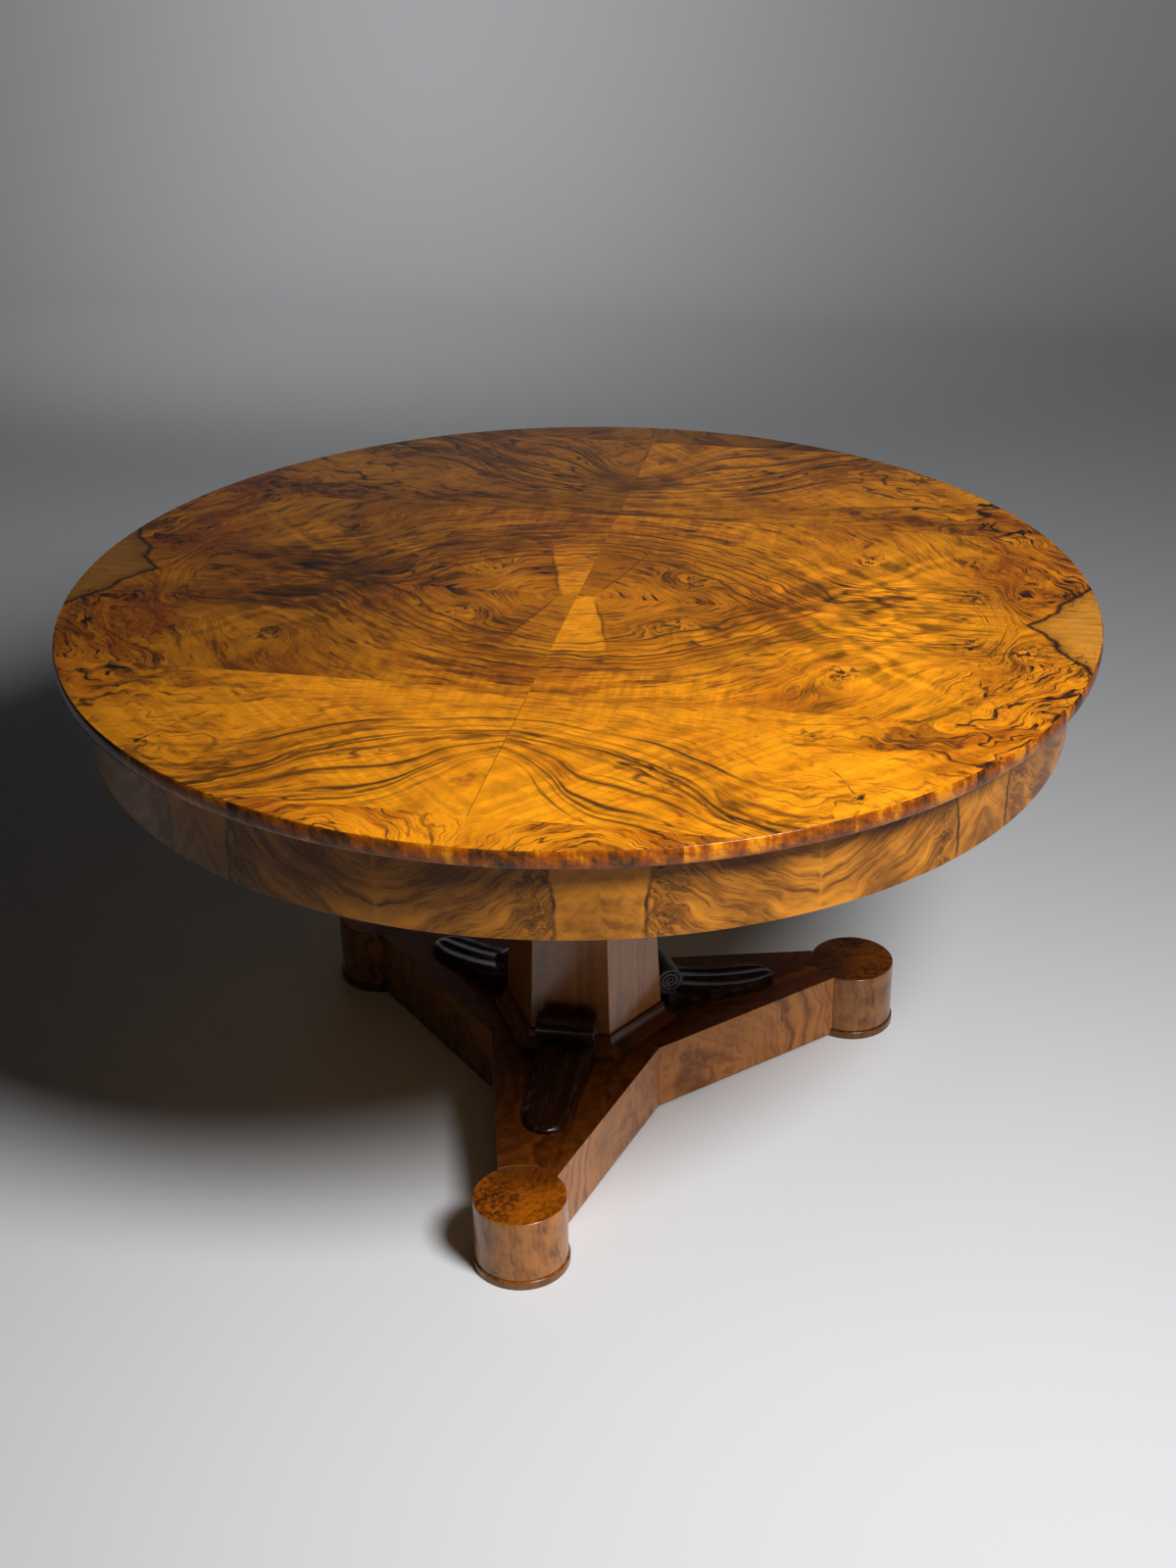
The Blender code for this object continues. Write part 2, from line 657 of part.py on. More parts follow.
def spiral_groove(name, centre, side):
    """Groove on one end of the scroll that winds in from the crease towards the eye."""
    curve = bpy.data.curves.new(name, "CURVE")
    curve.dimensions = "3D"
    curve.bevel_depth = GROOVE_RADIUS
    curve.bevel_resolution = 1
    curve.use_fill_caps = True
    count = round(GROOVE_TURNS * GROOVE_STEPS)
    spline = curve.splines.new("POLY")
    spline.points.add(count)
    outer = VOLUTE_RADIUS - GROOVE_RADIUS
    inner = EYE_RADIUS + 2 * GROOVE_RADIUS
    for i, point in enumerate(spline.points):
        radius = outer + (inner - outer) * i / count
        turn = math.radians(VOLUTE_CREASE) - math.tau * i / GROOVE_STEPS
        x = centre[0] + radius * math.cos(turn)
        z = centre[1] + radius * math.sin(turn)
        point.co = (x, side * VOLUTE_HALF_WIDTH, z, 1.0)
    blank = bpy.data.objects.new(name, curve)
    CUTTERS.objects.link(blank)
    return add_cutter(name, edit(settled(blank)))


def leaf_half_width(x, root):
    """Half width of the leaf: lobed sides from the volute out to a rounded tip."""
    shoulder = BRACKET_REACH - LEAF_TIP_LENGTH
    if x > shoulder:
        return LEAF_HALF_WIDTH * math.sqrt(1 - ((x - shoulder) / LEAF_TIP_LENGTH) ** 2)
    share = (x - root) / (shoulder - root)
    plain = VOLUTE_HALF_WIDTH + (LEAF_HALF_WIDTH - VOLUTE_HALF_WIDTH) * share
    return plain - LOBE_DEPTH * (1 - abs(math.sin(math.pi * LEAF_LOBES * share)))


def leaf_height(share, across, root_height):
    """Height of the leaf at a place along and across it: fluted, and rolled over at its edges."""
    crown = LEAF_TIP_HEIGHT + (root_height - LEAF_TIP_HEIGHT) * (1 - share) ** 2
    fade = math.sin(math.pi * share)
    flute = FLUTE_DEPTH * fade * math.sin(math.pi * LEAF_RIBS * across / 2) ** 2
    return crown - flute - LEAF_ROLL * across ** 4


def make_leaf(root, root_height):
    """Ribbed leaf that sinks from the volute towards its tip."""
    floor = PLATFORM_TOP + CLEARANCE
    length = BRACKET_REACH - root
    across = [-1 + 2 * i / LEAF_STRIPS for i in range(LEAF_STRIPS + 1)]
    rings = []
    for i in range(LEAF_STATIONS + 1):
        share = math.sin(i / LEAF_STATIONS * math.radians(LEAF_END_ANGLE))
        x = root + length * share
        half = leaf_half_width(x, root)
        crest = [(x, half * v, floor + leaf_height(share, v, root_height)) for v in across]
        rings.append([(x, -half, floor), *crest, (x, half, floor)])
    return loft("bracket_leaf", rings)


def make_brackets():
    """Scroll brackets, scribed over the plinth moulding and leaning with the column's face."""
    floor = PLATFORM_TOP + CLEARANCE
    axis_height = PLATFORM_TOP + VOLUTE_RISE
    axis = column_face(axis_height) + CLEARANCE + volute_radius(HALF_TURN)
    heel = PLINTH_OUTER + CLEARANCE
    step = PLINTH_TOP + CLEARANCE
    scroll = []
    for i in range(SCROLL_STEPS + 1):
        degrees = HALF_TURN + (VOLUTE_CREASE - HALF_TURN) * i / SCROLL_STEPS
        radius = volute_radius(degrees)
        turn = math.radians(degrees)
        scroll.append((axis + radius * math.cos(turn), axis_height + radius * math.sin(turn)))
    neck, crease = scroll[-1]
    back = column_face(step) + CLEARANCE
    outline = [(heel, floor), (heel, step), (back, step), *scroll, (neck, floor)]
    body = slab("bracket_blank", [outline], -VOLUTE_HALF_WIDTH, VOLUTE_HALF_WIDTH)
    blank = add_cutter("bracket_blank", edit(body, UPRIGHT))
    leaf = make_leaf((heel + neck) / 2, crease - floor)
    combine(blank, add_cutter("bracket_leaf", leaf), "UNION")
    reach = VOLUTE_HALF_WIDTH + EYE_PROJECTION
    eye = turned("volute_eye", rod_profile(EYE_RADIUS, -reach, reach), EYE_STEPS)
    eye_place = Matrix.Translation((axis, 0.0, axis_height)) @ UPRIGHT
    combine(blank, add_cutter("volute_eye", edit(eye, eye_place)), "UNION")
    for name, side in (("left_groove", -1), ("right_groove", 1)):
        combine(blank, spiral_groove(name, (axis, axis_height), side), "DIFFERENCE")
    bracket = edit(settled(blank))
    for side, degrees in FEET.items():
        add_part(f"scroll_bracket_{side}", bracket, "bracket_dark", degrees)


def shade_round():
    """Smooth the facets of round pieces and keep their arrises crisp."""
    for piece in PARTS.objects:
        piece.data.shade_smooth()
        piece.data.set_sharp_from_angle(angle=math.radians(SMOOTH_ANGLE))


def main():
    """Build the table from its top down to its feet."""
    bore_profile = rod_profile(BORE_RADIUS, 0.0, TABLE_HEIGHT)
    bore = add_cutter("rod_bore", turned("rod_bore", bore_profile, SMALL_STEPS))
    pocket_profile = rod_profile(WASHER_RADIUS + BORE_EASE, NUT_POCKET_FLOOR, TABLE_HEIGHT)
    pocket = add_cutter("nut_pocket", turned("nut_pocket", pocket_profile, SMALL_STEPS))
    make_core()
    make_top_veneer()
    make_edge()
    make_felloes([make_housing(0.0), make_housing(QUARTER_TURN)])
    make_apron_veneer()
    make_bearers(bore, pocket)
    make_column(bore)
    make_tie_rod()
    make_plinth()
    make_platform()
    make_feet()
    make_brackets()
    shade_round()


main()
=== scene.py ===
import json
import math

import bmesh
import bpy
from bpy.props import FloatProperty, FloatVectorProperty, IntProperty, PointerProperty
from mathutils import Matrix, Vector

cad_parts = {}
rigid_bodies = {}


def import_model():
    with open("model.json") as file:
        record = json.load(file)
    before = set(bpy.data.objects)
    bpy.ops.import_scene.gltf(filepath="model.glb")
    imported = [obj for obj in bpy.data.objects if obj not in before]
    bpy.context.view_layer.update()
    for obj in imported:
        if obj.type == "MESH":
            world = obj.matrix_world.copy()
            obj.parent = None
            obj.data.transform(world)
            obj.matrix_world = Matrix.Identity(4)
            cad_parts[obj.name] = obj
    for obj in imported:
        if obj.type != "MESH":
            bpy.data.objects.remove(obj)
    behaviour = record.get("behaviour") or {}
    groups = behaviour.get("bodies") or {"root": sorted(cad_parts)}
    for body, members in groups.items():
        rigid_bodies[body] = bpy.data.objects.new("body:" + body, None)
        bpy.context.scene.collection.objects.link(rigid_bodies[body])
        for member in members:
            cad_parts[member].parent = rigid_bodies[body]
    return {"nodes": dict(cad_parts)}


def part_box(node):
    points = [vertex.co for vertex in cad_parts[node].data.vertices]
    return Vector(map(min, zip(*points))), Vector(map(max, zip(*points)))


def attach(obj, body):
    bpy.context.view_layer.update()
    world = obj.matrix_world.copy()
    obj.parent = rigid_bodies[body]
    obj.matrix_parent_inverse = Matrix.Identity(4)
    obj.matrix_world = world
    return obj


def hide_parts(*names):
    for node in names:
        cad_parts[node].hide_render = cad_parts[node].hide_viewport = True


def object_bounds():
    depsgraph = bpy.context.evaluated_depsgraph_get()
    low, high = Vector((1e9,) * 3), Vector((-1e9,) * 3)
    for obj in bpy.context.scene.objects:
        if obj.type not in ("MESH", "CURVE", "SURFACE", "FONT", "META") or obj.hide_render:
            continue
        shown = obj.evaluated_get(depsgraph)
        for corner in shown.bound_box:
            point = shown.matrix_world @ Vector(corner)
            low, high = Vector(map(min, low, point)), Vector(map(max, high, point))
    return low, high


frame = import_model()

bl_info = {
    "name": "Walnut centre table",
    "version": (1, 0, 0),
    "blender": (4, 5, 0),
    "location": "View3D > Sidebar > Centre table",
    "description": "Finished pieces, polished walnut and a studio for a round centre table",
    "category": "Object",
}

CAD_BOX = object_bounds()
FEET = {"front": -90.0, "right": 30.0, "left": 150.0}
SIDES = {"front": -1, "back": 1}
HANDS = {"left": -1, "right": 1}
FULL_TURN = 360.0
FRONT = -90.0
COLUMN_SIDES = 6
COLUMN_TURN = FULL_TURN / COLUMN_SIDES
FACE = math.cos(math.radians(COLUMN_TURN / 2))
CORE_BOARDS = 3
FELLOES = 6
RIM_LENGTHS = 4
APRON_SHEETS = 4
APRON_FIRST = 36.0
APRON_LEAF = math.radians(22.5)
APRON_SEAM = math.radians(13.4)
TOP_RADIUS = 0.66
APRON_RADIUS = 0.626
APRON_MIDDLE = 0.664
LEAF_JOINT = 0.288
FOOT_DISTANCE = 0.415
MERGE = 0.00001
CREASE = math.radians(35.0)


def radii(node):
    """Nearest and farthest distance of a CAD node's corners from the table's axis."""
    spans = [corner.co.xy.length for corner in frame["nodes"][node].data.vertices]
    return min(spans), max(spans)


def levels(node):
    """Lowest and highest level of a CAD node."""
    low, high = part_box(node)
    return low.z, high.z


def span(node):
    """How far a CAD node lies from the front-to-back middle of the top."""
    low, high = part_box(node)
    return low.y, high.y


def distance(name, description, default):
    """Property for a length in metres."""
    return FloatProperty(name=name, description=description, default=default, min=0.0, unit="LENGTH")


def power(name, description, default):
    """Property for the power of a light in watts."""
    return FloatProperty(name=name, description=description, default=default, min=0.0, unit="POWER")


def angle(name, description, degrees):
    """Property for an angle, which is given in degrees."""
    return FloatProperty(name=name, description=description, default=math.radians(degrees), unit="ROTATION")


def amount(name, description, default):
    """Property for a plain number."""
    return FloatProperty(name=name, description=description, default=default, min=0.0)


def location(name, description, default):
    """Property for a place in metres."""
    return FloatVectorProperty(name=name, description=description, default=default, subtype="TRANSLATION")


def colour(name, description, default):
    """Property for a linear colour."""
    return FloatVectorProperty(
        name=name, description=description, default=default, size=3, min=0.0, max=1.0, subtype="COLOR"
    )


class TableSizes(bpy.types.PropertyGroup):
    """Sizes of the finished pieces."""

    hairline: distance("Hairline", "Width of a glued joint", 0.00008)
    arris: distance("Arris", "Width of a softened edge", 0.0005)
    rim_arris: distance("Rim arris", "Softened upper edge of the top", 0.0007)
    rim_swell: distance("Rim swell", "Depth of the fullest part of the rim below the top", 0.010)
    rim_tuck: distance("Rim tuck", "How far the rim draws in towards its foot", 0.005)
    rim_ease: distance("Rim ease", "How far the rim draws in towards the veneer", 0.002)
    apron_round: distance("Apron round", "Rounding of the apron's lower edge", 0.0014)
    foot_round: distance("Foot round", "Rounding of the drums' upper edge", 0.0025)
    foot_groove: distance("Foot groove", "Chamfer of the drums over their bases", 0.0010)
    plinth_fillet: distance("Plinth fillet", "Upright face at the foot of the plinth", 0.009)
    plinth_lip: distance("Plinth lip", "Width of the plinth's upper edge", 0.003)
    volute_rise: distance("Volute rise", "Height of the volute's middle over the platform", 0.0505)
    volute_radius: distance("Volute radius", "Radius of the volute at its crease", 0.0175)
    spiral_depth: distance("Spiral depth", "Depth of the spiral on the ends of the volute", 0.0016)
    spiral_pitch: distance("Spiral pitch", "Distance between turns of the spiral", 0.0062)
    leaf_width: distance("Leaf width", "Half width of the carved leaf", 0.035)
    leaf_tip: distance("Leaf tip", "Height of the leaf's tip", 0.009)
    leaf_end: distance("Leaf end", "Length of the leaf's rounded end", 0.045)
    leaf_roll: distance("Leaf roll", "How far the leaf's sides roll down", 0.005)
    flute_depth: distance("Flute depth", "Depth of the flutes along the leaf", 0.0032)
    lobe_depth: distance("Lobe depth", "Depth of the notches along the leaf", 0.0014)
    round_steps: IntProperty(name="Round steps", description="Facets in a full turn", default=384, min=24)
    foot_steps: IntProperty(name="Foot steps", description="Facets round a foot", default=128, min=24)


class TableColours(bpy.types.PropertyGroup):
    """Colours of the woods and of the iron."""

    golden: colour("Golden", "Palest walnut of the top", (0.73, 0.255, 0.005))
    amber: colour("Amber", "Middle tone of the top", (0.47, 0.14, 0.003))
    russet: colour("Russet", "Red streaks of the top", (0.31, 0.066, 0.003))
    brown: colour("Brown", "Darker growth of the walnut", (0.105, 0.033, 0.004))
    vein: colour("Vein", "Darkest lines of the walnut", (0.022, 0.010, 0.006))
    olive: colour("Olive", "Sapwood at the ends of the leaves", (0.34, 0.175, 0.040))
    apron_light: colour("Apron light", "Pale growth on the apron", (0.54, 0.195, 0.014))
    apron_dark: colour("Apron dark", "Dark growth on the apron", (0.14, 0.046, 0.004))
    column_light: colour("Column light", "Pale growth on the column", (0.29, 0.092, 0.012))
    column_dark: colour("Column dark", "Dark growth on the column", (0.07, 0.020, 0.004))
    side_light: colour("Side light", "Pale growth on the platform's sides", (0.42, 0.155, 0.034))
    side_dark: colour("Side dark", "Dark growth on the platform's sides", (0.165, 0.053, 0.014))
    platform_light: colour("Platform light", "Pale growth on the platform", (0.13, 0.031, 0.0025))
    platform_dark: colour("Platform dark", "Dark growth on the platform", (0.035, 0.008, 0.001))
    foot_light: colour("Foot light", "Pale growth on top of the drums", (0.38, 0.095, 0.003))
    drum_light: colour("Drum light", "Pale growth round the drums", (0.40, 0.150, 0.030))
    drum_dark: colour("Drum dark", "Dark growth round the drums", (0.14, 0.046, 0.010))
    stain: colour("Stain", "Dark stain of the brackets", (0.014, 0.0035, 0.0015))
    pine: colour("Pine", "Pale growth of the pine", (0.46, 0.29, 0.13))
    pine_dark: colour("Pine dark", "Dark growth of the pine", (0.24, 0.125, 0.045))
    iron: colour("Iron", "Forged iron", (0.065, 0.060, 0.055))


class StudioSettings(bpy.types.PropertyGroup):
    """Paper, light and camera."""

    paper: colour("Paper", "Colour of the paper", (0.78, 0.79, 0.81))
    paper_cloud: colour("Paper cloud", "Faint clouds in the paper", (0.75, 0.76, 0.78))
    key_power: power("Key power", "Power of the key light", 70.0)
    key_size: distance("Key size", "Width of the key light", 0.74)
    key_place: location("Key place", "Place of the key light", (1.25, -1.25, 2.10))
    wall_power: power("Wall power", "Power of the backdrop's light", 5.4)
    wall_size: distance("Wall size", "Width of the backdrop's light", 0.9)
    wall_spread: angle("Wall spread", "Spread of the backdrop's light", 110.0)
    wall_level: distance("Wall level", "Height on the backdrop its light is aimed at", 0.5)
    wall_place: location("Wall place", "Place of the backdrop's light", (-1.5, 2.4, 2.0))
    fill_power: power("Fill power", "Power of the light behind the table", 18.0)
    fill_size: distance("Fill size", "Width of the light behind the table", 1.2)
    fill_place: location("Fill place", "Place of the light behind the table", (-1.9, 2.9, 0.9))
    ambient: amount("Ambient", "Light from all round", 0.004)
    air: amount("Air", "Paleness of the air past the paper", 0.40)
    depth: distance("Depth", "From the middle of the table to the foot of the backdrop", 4.7)
    reach: distance("Reach", "How far the floor runs out under the key light", 1.8)
    height: distance("Height", "Height of the backdrop", 2.45)
    sweep: distance("Sweep", "Radius of the backdrop's foot", 1.0)
    camera_place: location("Camera place", "Place of the camera", (0.5327, -2.5788, 1.8688))
    camera_turn: angle("Camera turn", "Turn of the camera to the left", 11.453)
    camera_dip: angle("Camera dip", "Dip of the camera below level", 28.035)
    camera_roll: angle("Camera roll", "Lean of the camera", -0.785)
    lens: amount("Lens", "Focal length in millimetres", 68.256)
    film: amount("Film", "Width of the film in millimetres", 36.0)


class Wire:
    """Output of a shader node. Sums, products and powers of wires add Math nodes to its tree."""

    def __init__(self, tree, socket=None):
        self.tree = tree
        self.socket = socket

    def add(self, kind, settings=None, inputs=None, output=0):
        """Add a node, set it up, feed its sockets and return one of its outputs."""
        node = self.tree.nodes.new(kind)
        for name, value in (settings or {}).items():
            setattr(node, name, value)
        for name, value in (inputs or {}).items():
            if isinstance(value, Wire):
                self.tree.links.new(value.socket, node.inputs[name])
            else:
                node.inputs[name].default_value = value
        return Wire(self.tree, node.outputs[output] if node.outputs else None)

    def math(self, operation, *values):
        """Add a Math node and return its result."""
        return self.add("ShaderNodeMath", {"operation": operation}, dict(enumerate(values)))

    def __add__(self, other):
        return self.math("ADD", self, other)

    def __sub__(self, other):
        return self.math("SUBTRACT", self, other)

    def __rsub__(self, other):
        return self.math("SUBTRACT", other, self)

    def __mul__(self, other):
        return self.math("MULTIPLY", self, other)

    def __truediv__(self, other):
        return self.math("DIVIDE", self, other)

    def __pow__(self, power):
        return self.math("POWER", self, power)

    def __abs__(self):
        return self.math("ABSOLUTE", self)

    __radd__ = __add__
    __rmul__ = __mul__


def parts(vector):
    """The three parts of a vector."""
    return [vector.add("ShaderNodeSeparateXYZ", {}, {"Vector": vector}, axis) for axis in "XYZ"]


def joined(x, y, z=0.0):
    """Vector of three values, the first of them a wire."""
    return x.add("ShaderNodeCombineXYZ", {}, {"X": x, "Y": y, "Z": z})


def cloud(where, scale, detail=3.0, roughness=0.5):
    """Soft noise over a vector, about zero."""
    inputs = {"Vector": where, "Scale": scale, "Detail": detail, "Roughness": roughness}
    return where.add("ShaderNodeTexNoise", {}, inputs) - 0.5


def strata(field, scale, detail=5.0, roughness=0.6):
    """Uneven bands along a value, from 0 to 1."""
    inputs = {"W": field, "Scale": scale, "Detail": detail, "Roughness": roughness}
    return field.add("ShaderNodeTexNoise", {"noise_dimensions": "1D"}, inputs)


def rise(value, low, high):
    """Smooth step from 0 at one value to 1 at another."""
    settings = {"interpolation_type": "SMOOTHSTEP"}
    return value.add("ShaderNodeMapRange", settings, {"Value": value, "From Min": low, "From Max": high})


def fall(value, low, high):
    """Smooth step from 1 at one value to 0 at another."""
    return 1.0 - rise(value, low, high)


def held(value):
    """A value held between 0 and 1."""
    return value.add("ShaderNodeClamp", {}, {"Value": value})


def crest(value, width):
    """Line that is 1 where a value is zero and fades out over a width."""
    return fall(abs(value), 0.0, width)


def spot(u, v, at, size):
    """Round patch that is 1 at a place and fades out over a size."""
    gap = ((u - at[0]) ** 2.0 + (v - at[1]) ** 2.0) / (-size * size)
    return gap.math("EXPONENT", gap)


def tint(mask, under, over):
    """One colour laid over another where a mask is 1."""
    under, over = (paint if isinstance(paint, Wire) else (*paint, 1.0) for paint in (under, over))
    return mask.add("ShaderNodeMix", {"data_type": "RGBA"}, {0: mask, 6: under, 7: over}, 2)


def toned(paint, value):
    """Colour made lighter or darker by a value."""
    return paint.add("ShaderNodeHueSaturation", {}, {"Value": value, "Color": paint})


def guide(value, points):
    """Smooth curve through a few (value, height) points."""
    curve = value.tree.nodes.new("ShaderNodeFloatCurve")
    line = curve.mapping.curves[0]
    reach = points[-1][0]
    line.points[0].location = (0.0, points[0][1])
    line.points[1].location = (1.0, points[-1][1])
    for at, height in points[1:-1]:
        line.points.new(at / reach, height)
    curve.mapping.update()
    value.tree.links.new((value / reach).socket, curve.inputs["Value"])
    return Wire(value.tree, curve.outputs[0])


def blank(name):
    """Empty material, then the place of a point on the table as a vector and as its three parts."""
    material = bpy.data.materials.new(name)
    material.use_nodes = True
    material.node_tree.nodes.clear()
    where = Wire(material.node_tree).add("ShaderNodeTexCoord", {}, {}, "Object")
    return material, where, *parts(where)


def upward(where):
    """Mask of the faces that look up."""
    return rise(parts(where.add("ShaderNodeTexCoord", {}, {}, "Normal"))[2], 0.6, 0.8)


def surface(paint, roughness, relief, depth, coat=0.08, coat_roughness=0.12, gloss=0.25):
    """Polished surface of one colour, with fine relief."""
    bump = relief.add("ShaderNodeBump", {}, {"Strength": 1.0, "Distance": depth, "Height": relief})
    inputs = {
        "Base Color": paint,
        "Roughness": roughness,
        "Normal": bump,
        "Specular IOR Level": gloss,
        "Coat Weight": coat,
        "Coat Roughness": coat_roughness,
    }
    return paint.add("ShaderNodeBsdfPrincipled", {}, inputs)


def polish(material, paint, *settings):
    """Put a polished surface on a material's output and hand the material back."""
    paint.add("ShaderNodeOutputMaterial", {}, {"Surface": surface(paint, *settings)})
    return material


def leaf_tone(x, y, front_right, front_left, back_right, back_left):
    """Value for each of the four quarters, which lie with their grain turned different ways; it sets their
    figure and the painted sheen and shade that each quarter takes as light catches its grain.
    """
    right = rise(x, -MERGE, MERGE)
    back = rise(y, -MERGE, MERGE)
    front_tone = front_left + right * (front_right - front_left)
    back_tone = back_left + right * (back_right - back_left)
    return front_tone + back * (back_tone - front_tone)


def strokes(field, plan, width, length, detail=3.0, roughness=0.6):
    """Uneven strokes that follow a field and run out after a length, about zero."""
    u, v, leaf = parts(plan)
    return cloud(joined(field / width, u / length + leaf * 40.0, v / length), 1.0, detail, roughness)


def walnut_leaf(colours, plan, field, pitch, bold, light, smoke, warmth, painted_sheen_and_shade):
    """Colour and relief of a burr walnut sheet whose growth follows a field."""
    haze = cloud(plan, 6.0, 3.0, 0.5)
    mottle = cloud(plan, 90.0, 4.0, 0.7)
    fine = strokes(field, plan, pitch * 0.5, 0.040, 4.0, 0.7)
    broad = strokes(field + 0.5, plan, pitch * 2.0, 0.12, 4.0, 0.6)
    fibre = strokes(field + 0.3, plan, pitch * 0.24, 0.045, 2.0, 0.6)
    patch = rise(cloud(plan, 9.0, 2.0), -0.12, 0.12)
    ground = rise(haze * 1.6 + broad * 1.3 + fine * 1.6 + mottle * 0.7 - light, -0.44, 0.28)
    paint = tint(ground, colours.golden, colours.amber)
    paint = tint(held(warmth * rise(haze + fine + broad, -0.35, 0.30)), paint, colours.russet)
    dusk = rise(cloud(plan, 5.0, 5.0, 0.6) + broad * 0.8 + fine * 0.7, -0.06, 0.30)
    paint = tint(held(smoke * dusk), paint, colours.brown)
    dash = rise(fine + broad * 0.6, 0.07, 0.15) * (0.4 + patch * 0.6)
    paint = tint(held(dash * bold), paint, colours.brown)
    drift = strokes(field + 1.1, plan, pitch * 1.6, 0.16, 1.0)
    line = crest(drift, 0.030) + crest(drift - 0.15, 0.026) * 0.7
    paint = tint(held(line * rise(fine + patch * 0.4, 0.0, 0.16) * bold), paint, colours.vein)
    paint = tint(rise(fibre + fine * 0.3, 0.09, 0.24) * 0.5, paint, colours.brown)
    # The sheen passed in is painted light and shade, laid on as lightness.
    tone = painted_sheen_and_shade * (1.10 + mottle * 0.6 + fine * 0.7 + fibre * 0.9)
    return toned(paint, tone), fine + mottle


def handed(x, right, left):
    """One value on the right of the seam and another on its left."""
    return left + rise(x, -MERGE, MERGE) * (right - left)


def slats(value, scale):
    """Hard-edged light and dark strips along a value, from -1 to 1."""
    return rise(strata(value, scale, 2.0), 0.40, 0.60) * 2.0 - 1.0


def knots(u, v, plan, places, size):
    """Clusters of dark dots and dashes in the burr."""
    mask = None
    for at in places:
        patch = spot(u, v, at, size)
        mask = patch if mask is None else mask + patch
    return held(mask) * rise(cloud(plan, 85.0, 4.0, 0.7) + mask * 0.10, 0.08, 0.15)


def ringed(colours, plan, paint, outline, places, near):
    """Groups of thin growth rings along an outline, each stronger and weaker along its length."""
    u, v, leaf = parts(plan)
    for number, at in enumerate(places):
        gap = outline - at
        strength = rise(cloud(joined(u, v, leaf + number * 0.37), 7.0, 2.0), -0.14, 0.12)
        fade = (0.35 + strength * 0.65) * near
        shadow = fall(gap, 0.0, 0.007) * rise(gap, -0.0005, 0.0)
        paint = tint(crest(gap, 0.0031) * fade * 0.95, paint, colours.brown if number % 3 else colours.vein)
        paint = tint(shadow * fade * 0.3, paint, colours.brown)
    return paint


def leaf_plan(where, x, y):
    """Place on a top leaf, mirrored at both seams, with a small shift for each quarter."""
    u = abs(x) + cloud(where, 6.0) * 0.014
    v = abs(y) + cloud(where, 5.0) * 0.012
    return u, v, joined(u, v, handed(x, 0.0, 0.025) + handed(y, 0.02, 0.0))


